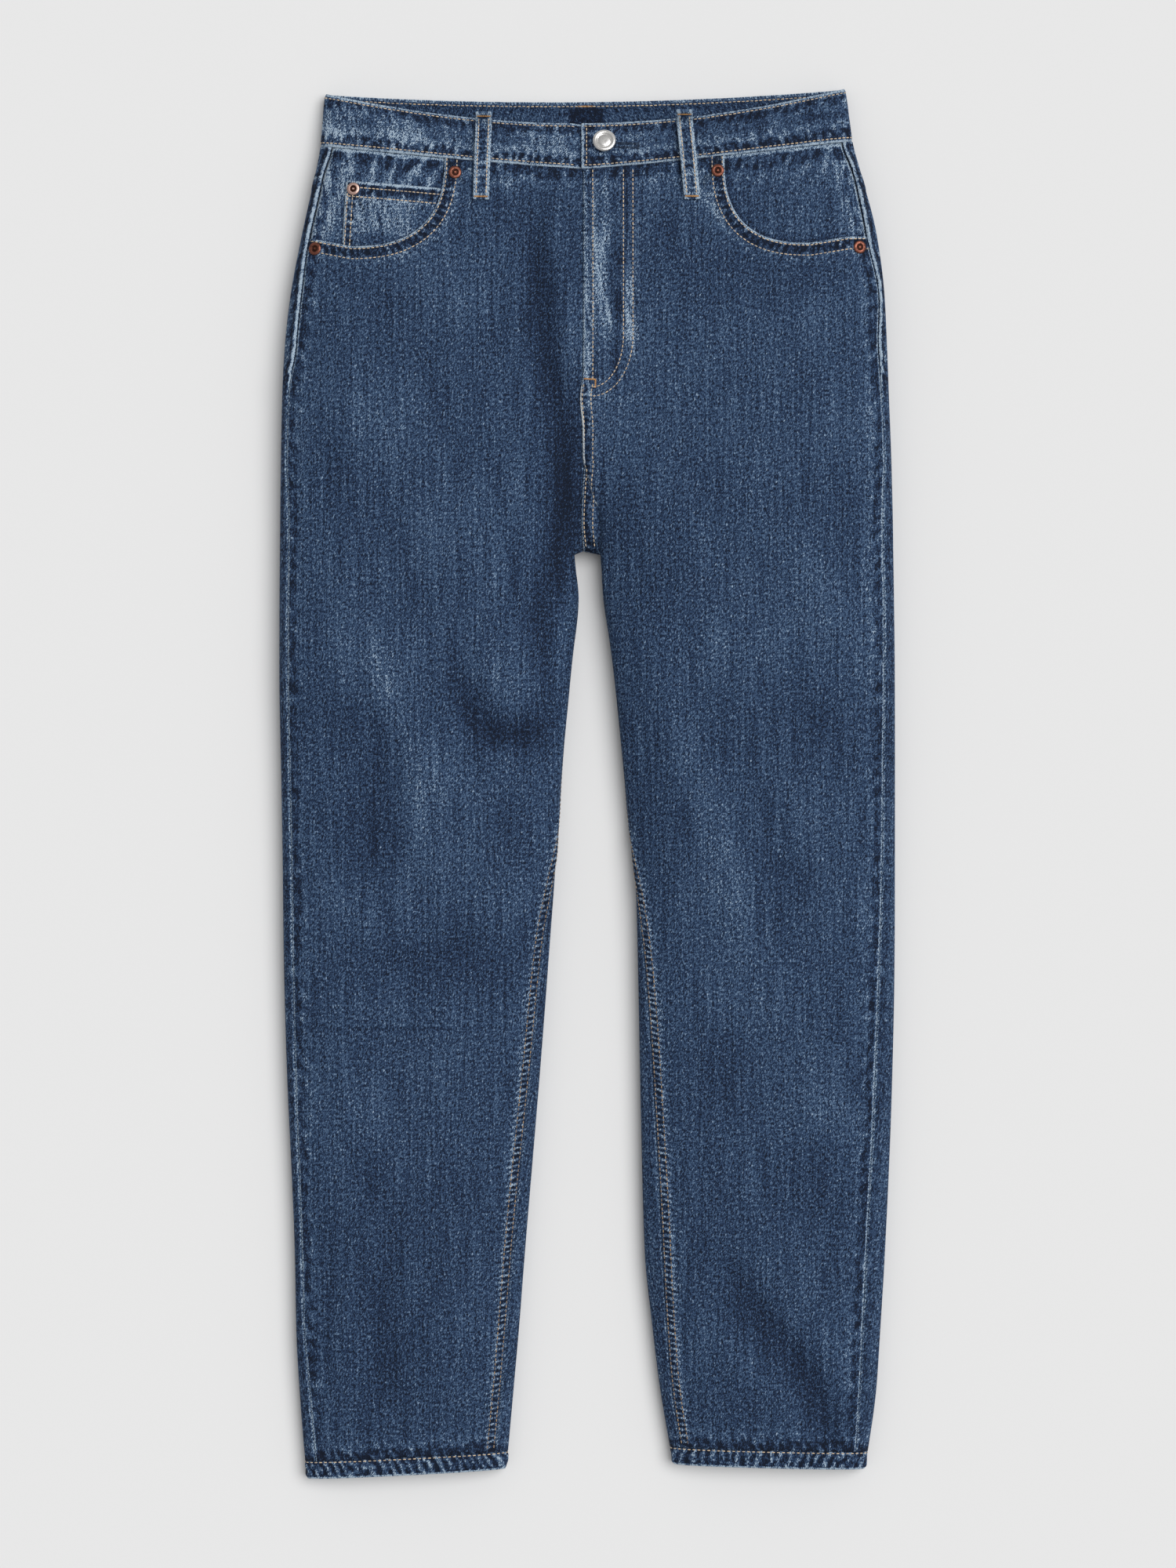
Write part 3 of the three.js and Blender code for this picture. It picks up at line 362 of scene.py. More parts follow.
FRONT_FOLDS = (
    Fold("beside the fly", 11, 4.2, (
        (-44, 428, 0.3), (-40, 405, 0.7), (-36, 372, 1), (-32, 330, 1), (-29, 304, 1), (-22, 276, 0.9),
        (-17, 250, 0.85), (-16, 217, 0.8), (-19, 185, 0.8), (-27, 150, 0.9), (-36, 120, 1), (-33, 92, 0.6),
        (-28, 66, 0.2))),
    Fold("roll between that trough and the fly", 8, -1.2, ((-22, 400, 0.5), (-16, 350, 1), (-12, 300, 0.6))),
    Fold("under the thigh's bulge", 12, 4.4, (
        (-94, 100, 0.2), (-92, 72, 0.6), (-86, 50, 0.9), (-70, 36, 1.1), (-48, 36, 1.1),
        (-26, 46, 0.7)), 0.35),
    Fold("bulge above it", 21, -2.6, ((-70, 84, 1), (-50, 68, 0.9))),
    Fold("flank beside the bulge", 22, 1.0, ((-112, 128, 0.3), (-108, 78, 1), (-116, 34, 0.4))),
    Fold("down the right knee", 17, 2.4, ((-148, 30, 0.4), (-152, -8, 1), (-158, -58, 1), (-150, -92, 0.4))),
    Fold("right knee ridge", 18, -2, ((-146, 84, 0.5), (-128, 20, 1), (-108, -57, 0.7))),
    Fold("across the right calf", 12, 1.4, ((-176, -112, 0.5), (-140, -128, 1), (-92, -118, 0.4))),
    Fold("below the right knee", 15, -1.3, ((-190, -150, 0.6), (-140, -168, 1), (-88, -158, 0.5))),
    Fold("across the left thigh", 22, -1.6, ((26, 118, 0.8), (84, 6, 1), (116, -112, 0.7))),
    Fold("beside the left thigh's ridge", 24, 1.3, ((52, 116, 0.4), (108, 18, 1), (146, -84, 0.6))),
    Fold("inside the left thigh", 10, 1.6, ((20, 150, 0.3), (28, 96, 1), (38, 30, 0.8), (50, -40, 0.3))),
    Fold("left knee", 15, 1.3, ((196, -48, 0.5), (160, -66, 1), (122, -58, 0.4))),
    Fold("across the left shin", 12, 3.6, (
        (96, -336, 0.3), (110, -362, 0.8), (139, -400, 1), (164, -435, 1), (176, -468, 0.8)), -0.3),
    Fold("ridge beside it", 13, -1.5, ((88, -392, 0.5), (118, -424, 1), (140, -462, 0.6))),
    Fold("second ridge beside it", 12, -1.3, ((150, -366, 0.6), (178, -404, 1), (192, -430, 0.5))),
    Fold("down the right shin", 14, 1.7, ((-148, -330, 0.4), (-152, -372, 1), (-148, -440, 0.8))),
    Fold("left edge of the right shin", 9, 1.4, ((-196, -320, 0.4), (-190, -372, 1), (-196, -424, 0.5))),
    Fold("hip crease by the right loop", 6, 1.1, ((-66, 426, 0.6), (-58, 404, 1), (-52, 384, 0.3))),
    Fold("hip crease by the left loop", 6, 1.0, ((62, 424, 0.6), (58, 402, 1), (60, 380, 0.3))),
    Fold("hip pull under the right pocket", 9, 0.9, ((-190, 372, 0.6), (-150, 352, 1), (-112, 346, 0.3))),
    Fold("hip pull under the left pocket", 9, 0.9, ((186, 374, 0.6), (148, 356, 1), (118, 352, 0.3))),
    Fold("fly fold", 3.2, -0.9, ((6.4, 414, 0.4), (7.5, 388, 1), (6, 352, 0.8), (6.5, 322, 0.4))),
    Fold("fly dent", 3.4, 0.9, ((14, 404, 0.4), (13, 372, 1), (15, 340, 0.9), (14.5, 316, 0.3))),
    Fold("fly pull", 4, -0.8, ((27, 386, 0.4), (24, 362, 1), (27, 336, 0.3))),
    Fold("pressed across the right leg", 1.8, 0.55, ((-208, -176, 0.7), (-140, -178, 1), (-72, -176, 0.6))),
    Fold("right hem pull", 4, 1.2, ((-198, -484, 0.6), (-190, -474, 1), (-181, -470, 0.2))),
    Fold("right hem second pull", 4, 1.0, ((-88, -482, 0.6), (-94, -468, 1), (-96, -456, 0.2))),
    Fold("left hem pull", 4.5, 1.4, ((188, -486, 0.6), (178, -476, 1), (172, -466, 0.2))),
    Fold("left hem second pull", 4, 1.1, ((82, -482, 0.7), (90, -474, 1), (99, -468, 0.2))),
)
BACK_FOLDS = (
    Fold("under the right seat", 10, 2.4, ((-40, 216, 0.4), (-76, 196, 1), (-128, 204, 0.5))),
    Fold("under the left seat", 10, 2.2, ((38, 212, 0.4), (80, 198, 1), (134, 210, 0.4))),
    Fold("inside the right thigh", 10, 2.0, ((-30, 150, 0.5), (-46, 96, 1), (-58, 40, 0.4))),
    Fold("inside the left thigh", 9, 1.8, ((34, 154, 0.5), (50, 104, 1), (60, 58, 0.4))),
    Fold("behind the right knee", 11, 2.4, ((-196, -38, 0.5), (-146, -54, 1), (-92, -44, 0.5))),
    Fold("second behind the right knee", 9, 1.6, ((-186, -84, 0.3), (-140, -94, 1), (-104, -102, 0.4))),
    Fold("behind the left knee", 11, 2.2, ((196, -40, 0.4), (152, -60, 1), (98, -52, 0.5))),
    Fold("second behind the left knee", 9, 1.5, ((184, -96, 0.4), (138, -104, 1), (96, -92, 0.3))),
    Fold("down the right calf", 13, 1.8, ((-126, -250, 0.3), (-120, -320, 1), (-130, -396, 0.4))),
    Fold("down the left calf", 13, 1.8, ((128, -262, 0.3), (138, -338, 1), (126, -408, 0.4))),
)


class FadeAndShadePatch(NamedTuple):
    """A soft patch that the wash has left paler, or darker where its amount is negative; the darker patches
    that lie along the folds' troughs are painted shade.
    """

    x: float
    y: float
    wide: float
    tall: float
    amount: float
    lean: float = 0.0


# Patches of the wash; the darker ones along the folds' troughs, beside the fly, under the thigh's bulge and
# down the right knee, are painted shade.
FADES_AND_SHADE = tuple(FadeAndShadePatch(*row) for row in (
    (-62, 80, 34, 30, -0.03), (-52, 32, 32, 13, -0.12), (115, -100, 60, 90, 0.03),
    (-108, -130, 60, 60, -0.03), (-130, -177, 60, 1.2, -0.1), (-125, -174, 50, 1.4, 0.05),
    (-130, -425, 46, 60, -0.09), (-130, -300, 90, 90, -0.02), (120, -330, 90, 120, -0.03),
    (-18, 240, 12, 50, -0.1), (-15, 195, 11, 40, -0.2), (-28, 150, 14, 30, -0.12), (30, 190, 16, 30, -0.06),
    (-150, -34, 16, 26, -0.04), (-30, 340, 11, 60, -0.05), (140, -430, 30, 50, 0.02),
    (120, -460, 60, 40, -0.06), (-182, 250, 12, 60, -0.05), (205, 180, 10, 120, 0.05),
    (-206, 60, 12, 160, -0.03), (50, 60, 22, 90, -0.05), (62, -70, 20, 60, -0.04), (88, -250, 16, 80, -0.03),
    (-70, -220, 18, 80, -0.02), (-44, 446, 7, 16, 0.10, 0.4), (-60, 440, 5, 14, 0.14, -0.3),
    (-100, 424, 6, 14, 0.10, 0.5), (52, 444, 6, 14, 0.10, 0.4), (88, 420, 6, 16, 0.12, -0.4),
    (40, 436, 6, 18, -0.08),
))
FLY_FADES = tuple(FadeAndShadePatch(*row) for row in (
    (0, 330, 3.4, 62, 0.22), (10, 372, 4.4, 24, 0.18, 0.12), (15, 340, 4.4, 24, 0.30, -0.1),
    (14, 402, 6, 14, 0.16, 0.2), (6, 384, 2.4, 26, 0.20), (30, 350, 4.4, 26, 0.24, 0.06),
    (33, 322, 3.4, 14, 0.18), (28, 427, 3.2, 18, -0.20), (22, 347, 3.4, 10, -0.24),
    (20, 312, 3.6, 18, -0.20), (12, 428, 6, 12, 0.08, 0.5), (19, 416, 3, 24, -0.14),
    (24, 380, 2.6, 9, -0.16), (6, 300, 4, 12, -0.10), (38, 392, 3, 30, 0.06), (-1, 400, 2.4, 40, 0.12),
))
BAND_FADES = tuple(FadeAndShadePatch(*row) for row in (
    (-140, 465, 66, 60, 0.09), (120, 465, 80, 60, -0.07), (-20, 470, 22, 60, 0.05), (-178, 480, 16, 40, 0.05),
    (176, 480, 16, 40, 0.06), (32, 463, 11, 7, 0.08), (54, 466, 9, 30, -0.08),
))


def fade_and_shade(x: Array, y: Array, fades: Iterable[FadeAndShadePatch]) -> Array:
    """How much paler the patches leave places: fades of the wash, and painted shade where they are darker
    along the folds' troughs.
    """
    total = np.zeros(np.shape(x))
    for f in fades:
        aside = (x - f.x - f.lean * (y - f.y)) / f.wide
        total = total + f.amount * np.exp(-(aside ** 2) - ((y - f.y) / f.tall) ** 2)
    return total


class Wave(NamedTuple):
    """One of the long low waves that keep a laid cloth from being flat."""

    kx: float
    ky: float
    phase: float
    height: float


@dataclass
class Creases:
    """How much further in the laid cloth lies than its plain form."""

    seed: int = 11
    sorts: tuple = ((12, 70, 190, 0.21), (16, 20, 46, 0.05), (18, 9, 17, 0.022))
    back_shift: tuple[float, float] = (31, -17)
    waves: list[Wave] = field(default_factory=list)

    def __post_init__(self) -> None:
        """Draws the waves, so many of each sort between its shortest and longest."""
        draw = np.random.default_rng(self.seed)
        for count, shortest, longest, height in self.sorts:
            for _ in range(count):
                wave = 2 * math.pi / draw.uniform(shortest, longest)
                turn = draw.uniform(0, math.pi)
                ways = wave * math.cos(turn), wave * math.sin(turn)
                self.waves.append(Wave(*ways, draw.uniform(0, 7), height))

    def folds(self, x: Array, y: Array, folds: Iterable[Fold]) -> Array:
        """How deep the folds alone make places lie.

        Args:
            x: Places across.
            y: Places along.
            folds: The folds that may reach them.

        Returns:
            The depth of each.
        """
        depth = np.zeros_like(x)
        for fold in folds:
            deepest = np.zeros_like(x)
            for (ax, ay, a), (bx, by, b) in zip(fold.path, fold.path[1:]):
                length = math.hypot(bx - ax, by - ay)
                ux, uy = (bx - ax) / length, (by - ay) / length
                along = (x - ax) * ux + (y - ay) * uy
                held = np.clip(along, 0, length)
                off_x, off_y = x - ax - ux * held, y - ay - uy * held
                width = fold.width * (1 + fold.lean * np.sign(ux * off_y - uy * off_x))
                share = bell(along - held, FOLD_END) * (a + (b - a) * held / length)
                deepest = np.maximum(deepest, bell(np.hypot(off_x, off_y) / width, 1) * share)
            depth += fold.depth * deepest
        return depth

    def unevenness(self, x: Array, y: Array) -> Array:
        """The waves alone."""
        return sum(w.height * np.sin(w.kx * x + w.ky * y + w.phase) for w in self.waves)

    def front(self, x: Array, y: Array) -> Array:
        """The front's depth."""
        return self.folds(x, y, FRONT_FOLDS) + self.unevenness(x, y)

    def back(self, x: Array, y: Array) -> Array:
        """The back's depth, which never goes below the surface that it lies on."""
        shifted = self.unevenness(x + self.back_shift[0], y + self.back_shift[1])
        return np.maximum(self.folds(x, y, BACK_FOLDS) + 0.5 * shifted, 0)


CREASES = Creases()


class Seam(NamedTuple):
    """Where a seam runs, as a piece's layer: places along in puckers, distance from it and its strength."""

    along: Array
    distance: Array
    strength: Array | float

    def layer(self) -> Array:
        """The three as one array."""
        return np.stack(np.broadcast_arrays(self.along, self.distance, self.strength), axis=-1)

    @staticmethod
    def nearest(*seams: Seam) -> Array:
        """At each place the layer of the seam that is nearest."""
        layers = np.stack(np.broadcast_arrays(*(s.layer() for s in seams)))
        pick = np.argmin(layers[..., 1], axis=0)[None, ..., None]
        return np.take_along_axis(layers, np.broadcast_to(pick, (1, *layers.shape[1:])), 0)[0]


class Scoop:
    """A front pocket's opening."""

    POWER = 2.6
    LIP = 28.0
    LIP_RISE = 0.5
    SIDE_RISE = 3.0
    STEPS = 40
    TOP = 560.0
    SIDE = 260.0
    MOUTH = 175.0
    ROW_POINTS = 160

    def __init__(self, cx: float, cy: float, rx: float, ry: float, side_y: float) -> None:
        """Draws the opening's edge.

        Args:
            cx: Its middle across.
            cy: Its middle along.
            rx: Its reach across.
            ry: Its reach along.
            side_y: Where its mouth meets the side seam.
        """
        towards = -math.copysign(1, cx)
        turn = math.pi / 2 * np.arange(self.STEPS + 1) / self.STEPS
        x = cx + towards * rx * np.cos(turn) ** (2 / self.POWER)
        y = cy - ry * np.sin(turn) ** (2 / self.POWER)
        x = np.concatenate([[cx + towards * rx], x, [cx - towards * self.LIP, -towards * self.SIDE]])
        y = np.concatenate([[self.TOP], y, [side_y + self.LIP_RISE, side_y + self.SIDE_RISE]])
        self.line = np.stack([x, y], axis=1)
        self.sign = towards
        self.reach = reach_of(self.line)

    def measure(self, x: Array, y: Array) -> tuple[Array, Array]:
        """How far inside the opening places are, and how far along its edge.

        Args:
            x: Places across.
            y: Places along.

        Returns:
            The distance inside, negative outside, and the distance along the edge.
        """
        best, along = np.full(np.shape(x), np.inf), np.zeros(np.shape(x))
        for k, (a, b) in enumerate(zip(self.line, self.line[1:])):
            length = float(np.linalg.norm(b - a))
            if length < TINY:
                continue
            u = (b - a) / length
            t = np.clip((x - a[0]) * u[0] + (y - a[1]) * u[1], 0, length)
            dx, dy = x - a[0] - u[0] * t, y - a[1] - u[1] * t
            far = np.hypot(dx, dy)
            sign = np.where((u[0] * dy - u[1] * dx) * self.sign < 0, 1.0, -1.0)
            near = far < np.abs(best)
            best = np.where(near, far * sign, best)
            along = np.where(near, self.reach[k] + t, along)
        return best, along

    def inside(self, x: Array, y: Array) -> Array:
        """How far inside the opening places are."""
        return self.measure(x, y)[0]

    def row(self, off: float) -> Array:
        """A line beside the edge, off outside it, from the waistband to the side."""
        first = float(np.interp(-PANEL_TOP, -self.line[:2, 1], self.reach[:2]))
        line = drawn(np.linspace(first, first + self.MOUTH, self.ROW_POINTS), self.reach, self.line)
        way = unit(np.gradient(line, axis=0)) * self.sign * off
        return line + np.stack([-way[:, 1], way[:, 0]], axis=1)


SCOOPS = {"right": Scoop(-171, 455, 67.5, 65.5, 395), "left": Scoop(161, 452, 61.5, 60, 396.5)}
YOKE_SIDE = (202.0, 441.5)
YOKE_CENTRE_Y = 402.0
YOKE_RISE = (YOKE_SIDE[1] - YOKE_CENTRE_Y) / YOKE_SIDE[0]


def above_yoke(x: Array, y: Array) -> Array:
    """How far above the yoke's seam places are."""
    line = np.where(np.abs(x) < YOKE_SIDE[0], YOKE_CENTRE_Y + YOKE_RISE * np.abs(x), YOKE_SIDE[1])
    return (y - line) * math.cos(math.atan(YOKE_RISE))


@dataclass
class Skin:
    """The outer face of a piece of cloth, with values for its finish at each point."""

    points: Array
    normals: Array
    layers: dict[str, Array]
    loops: Array
    counts: Array

    SNAP = 0.8
    SMALL = 0.05
    STEEP = 0.3
    RIM_SHARES = (0.25, 0.75)

    @classmethod
    def of_grid(cls, points: Array, normals: Array, layers: dict[str, Array], ring: bool = False) -> Skin:
        """A face on a grid of points, rows down and columns across.

        Args:
            points: The grid.
            normals: The way out at each of its points.
            layers: Values for the finish.
            ring: Whether the last column meets the first.

        Returns:
            The face, turned the way of its normals.
        """
        rows, cols = points.shape[:2]
        index = np.arange(rows * cols).reshape(rows, cols)
        if ring:
            index = np.concatenate([index, index[:, :1]], axis=1)
        corners = index[:-1, :-1], index[1:, :-1], index[1:, 1:], index[:-1, 1:]
        quads = np.stack(corners, axis=-1).reshape(-1, 4)
        flat, ways = points.reshape(-1, 3), normals.reshape(-1, 3)
        turned = np.cross(flat[quads[:, 2]] - flat[quads[:, 0]], flat[quads[:, 3]] - flat[quads[:, 1]])
        if (turned * ways[quads[:, 0]]).sum() < 0:
            quads = quads[:, ::-1]
        packed = {n: a.reshape(rows * cols, -1) for n, a in layers.items()}
        return cls(flat, ways, packed, quads.reshape(-1), np.full(len(quads), 4))

    def snapped(self, where: PlanField) -> tuple[Array, Array]:
        """The points with those near the border of a field moved onto it, and the field's value at each."""
        points = self.points.copy()
        height = where(points[:, 0], points[:, 1])
        near = np.abs(height) < self.SNAP
        x, y = points[near, 0], points[near, 1]
        gx = (where(x + self.SMALL, y) - where(x - self.SMALL, y)) / (2 * self.SMALL)
        gy = (where(x, y + self.SMALL) - where(x, y - self.SMALL)) / (2 * self.SMALL)
        dx, dy = -height[near] * gx, -height[near] * gy
        n = self.normals[near]
        up = np.where(np.abs(n[:, 2]) > self.STEEP, n[:, 2], np.inf)
        points[near] += np.stack([dx, dy, -(n[:, 0] * dx + n[:, 1] * dy) / up], axis=1)
        return points, np.where(near, 0.0, height)

    def clipped(self, where: PlanField) -> Skin:
        """The part where a field over the plan, a distance from its border, isn't positive."""
        points, height = self.snapped(where)
        inside, starts = height <= 0, starts_of(self.counts)
        held = np.add.reduceat(inside[self.loops].astype(int), starts)
        touching = np.add.reduceat((height[self.loops] < 0).astype(int), starts) > 0
        whole = held == self.counts
        loops = [self.loops[np.repeat(whole & touching, self.counts)]]
        counts = [self.counts[whole & touching]]
        made: dict[tuple[int, int], int] = {}
        new: list[tuple[int, int, float]] = []
        for p in np.nonzero(~whole & touching)[0]:
            corners = self.loops[starts[p] : starts[p] + self.counts[p]]
            polygon: list[int] = []
            for a, b in zip(corners, np.roll(corners, -1)):
                if inside[a]:
                    polygon.append(int(a))
                if (height[a] < 0 < height[b]) or (height[b] < 0 < height[a]):
                    key = (int(min(a, b)), int(max(a, b)))
                    if key not in made:
                        made[key] = len(points) + len(new)
                        t = height[key[0]] / (height[key[0]] - height[key[1]])
                        new.append((*key, float(t)))
                    polygon.append(made[key])
            if len(polygon) > 2:
                loops.append(np.array(polygon))
                counts.append(np.array([len(polygon)]))
        arrays = {"points": points, "normals": self.normals, **self.layers}
        if new:
            a, b, t = (np.array(c) for c in zip(*new))
            for n, values in arrays.items():
                arrays[n] = np.concatenate([values, values[a] + (values[b] - values[a]) * t[:, None]])
        used, packed = np.unique(np.concatenate(loops), return_inverse=True)
        arrays = {n: values[used] for n, values in arrays.items()}
        new_points, normals = arrays.pop("points"), unit(arrays.pop("normals"))
        return Skin(new_points, normals, arrays, packed.reshape(-1), np.concatenate(counts))

    def border(self) -> Array:
        """The border's edges, each as two points in the way of its polygon."""
        starts = starts_of(self.counts)
        following = np.arange(len(self.loops)) + 1
        following[starts + self.counts - 1] = starts
        a, b = self.loops, self.loops[following]
        alone = ~np.isin(a * len(self.points) + b, b * len(self.points) + a)
        return np.stack([a[alone], b[alone]], axis=1)

    def shell(self, thick: float, rounding: float = 0.0, inside: dict[str, Array] | None = None) -> Mesh:
        """The closed wall of cloth behind the face.

        Args:
            thick: The cloth's thickness.
            rounding: How far a rounded rim stands out at the border.
            inside: Layers that differ on the inner face.

        Returns:
            The wall as a mesh, with its inner face in the second finish.
        """
        count, edges = len(self.points), self.border()
        loops = [self.loops, np.concatenate([p[::-1] for p in self.polygons()]) + count]
        counts, points = [self.counts] * 2, [self.points, self.points - self.normals * thick]
        layers = {n: [a, (inside or {}).get(n, a).reshape(count, -1)] for n, a in self.layers.items()}
        rings = [np.arange(count)]
        if rounding > 0 and len(edges):
            rim = np.unique(edges)
            away = np.zeros((count, 3))
            way = unit(self.points[edges[:, 1]] - self.points[edges[:, 0]])
            for corner in edges.T:
                np.add.at(away, corner, np.cross(way, self.normals[corner]))
            away = unit(away)
            for k, share in enumerate(self.RIM_SHARES):
                ring = np.full(count, -1)
                ring[rim] = 2 * count + k * len(rim) + np.arange(len(rim))
                rings.append(ring)
                points.append((self.points - self.normals * thick * share + away * rounding)[rim])
                for n, a in self.layers.items():
                    layers[n].append(a[rim])
        rings.append(np.arange(count, 2 * count))
        a, b = edges.T
        for outer, deeper in zip(rings, rings[1:]):
            loops.append(np.stack([outer[b], outer[a], deeper[a], deeper[b]], axis=1).reshape(-1))
            counts.append(np.full(len(edges), 4))
        finish = np.zeros(sum(len(c) for c in counts), int)
        finish[len(self.counts) : 2 * len(self.counts)] = 1
        layers = {n: np.concatenate(a) for n, a in layers.items()}
        return Mesh(np.concatenate(points), np.concatenate(loops), np.concatenate(counts), finish, layers)

    def polygons(self) -> list[Array]:
        """Each polygon's corners."""
        return np.split(self.loops, np.cumsum(self.counts)[:-1])

    def tree(self) -> BVHTree:
        """The face for ray casting, in millimetres."""
        return BVHTree.FromPolygons(self.points.tolist(), [p.tolist() for p in self.polygons()])


@dataclass
class Mesh:
    """Points and polygons in millimetres, each polygon with the number of its finish."""

    points: Array
    loops: Array
    counts: Array
    finish: Array
    layers: dict[str, Array] = field(default_factory=dict)

    @staticmethod
    def joined(parts: Sequence[Mesh]) -> Mesh:
        """Several meshes as one."""
        starts = starts_of([len(p.points) for p in parts])
        loops = np.concatenate([p.loops + s for p, s in zip(parts, starts)])
        names = "points", "counts", "finish"
        points, counts, finish = (np.concatenate([getattr(p, n) for p in parts]) for n in names)
        layers = {n: np.concatenate([p.layers[n] for p in parts]) for n in parts[0].layers}
        return Mesh(points, loops, counts, finish, layers)

    def piece(self, name: str, slot: str, finishes: Sequence[Finish], *nodes: str) -> bpy.types.Object:
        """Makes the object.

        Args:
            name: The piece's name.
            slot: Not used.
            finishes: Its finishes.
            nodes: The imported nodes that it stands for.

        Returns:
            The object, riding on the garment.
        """
        data = bpy.data.meshes.new(name)
        data.vertices.add(len(self.points))
        data.vertices.foreach_set("co", (self.points * MM).astype(np.float32).reshape(-1))
        data.loops.add(len(self.loops))
        data.loops.foreach_set("vertex_index", self.loops.astype(np.int32))
        data.polygons.add(len(self.counts))
        data.polygons.foreach_set("loop_start", starts_of(self.counts).astype(np.int32))
        data.polygons.foreach_set("material_index", self.finish.astype(np.int32))
        data.update(calc_edges=True)
        data.polygons.foreach_set("use_smooth", np.ones(len(self.counts), bool))
        for layer, values in self.layers.items():
            kind, field_name = ("FLOAT", "value") if values.shape[1] == 1 else ("FLOAT_VECTOR", "vector")
            made = data.attributes.new(layer, kind, "POINT")
            made.data.foreach_set(field_name, values.astype(np.float32).reshape(-1))
        data.validate()
        obj = bpy.data.objects.new(name, data)
        bpy.context.scene.collection.objects.link(obj)
        for finish in finishes:
            data.materials.append(WARDROBE.material(finish))
        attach(obj, "root")
        if nodes:
            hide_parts(*nodes)
        log.info("%s: %d points, %d polygons", name, len(self.points), len(self.counts))
        return obj


def operation(name: str, turned: bool = False) -> Callable[..., Value]:
    """A method of Value that does its arithmetic in a Math node.

    Args:
        name: The node's operation.
        turned: Whether the other value comes first.

    Returns:
        The method, of one more value or none.
    """
    def method(self: Value, *others: Value | float) -> Value:
        """The result as a value."""
        return self.graph.math(name, *((*others, self) if turned else (self, *others)))

    return method


@dataclass
class Value:
    """A shader socket that takes part in arithmetic."""

    graph: Graph
    socket: bpy.types.NodeSocket

    __add__ = __radd__ = operation("ADD")
    __sub__ = operation("SUBTRACT")
    __rsub__ = operation("SUBTRACT", True)
    __mul__ = __rmul__ = operation("MULTIPLY")
    __truediv__ = operation("DIVIDE")
    sine = operation("SINE")
    magnitude = operation("ABSOLUTE")
    exponent = operation("EXPONENT")

    def __neg__(self) -> Value:
        """The value with its sign turned."""
        return self * -1.0

    def bell(self, width: float) -> Value:
        """1 at nought and nearly 0 beyond twice the width."""
        scaled = self / width
        return (-(scaled * scaled)).exponent()

    def step(self, low: float, high: float) -> Value:
        """A smooth step from 0 at low to 1 at high."""
        inputs = {"Value": self, "From Min": low, "From Max": high}
        return self.graph.made("ShaderNodeMapRange", "Result", {"interpolation_type": "SMOOTHSTEP"}, inputs)


Input = Value | float | tuple


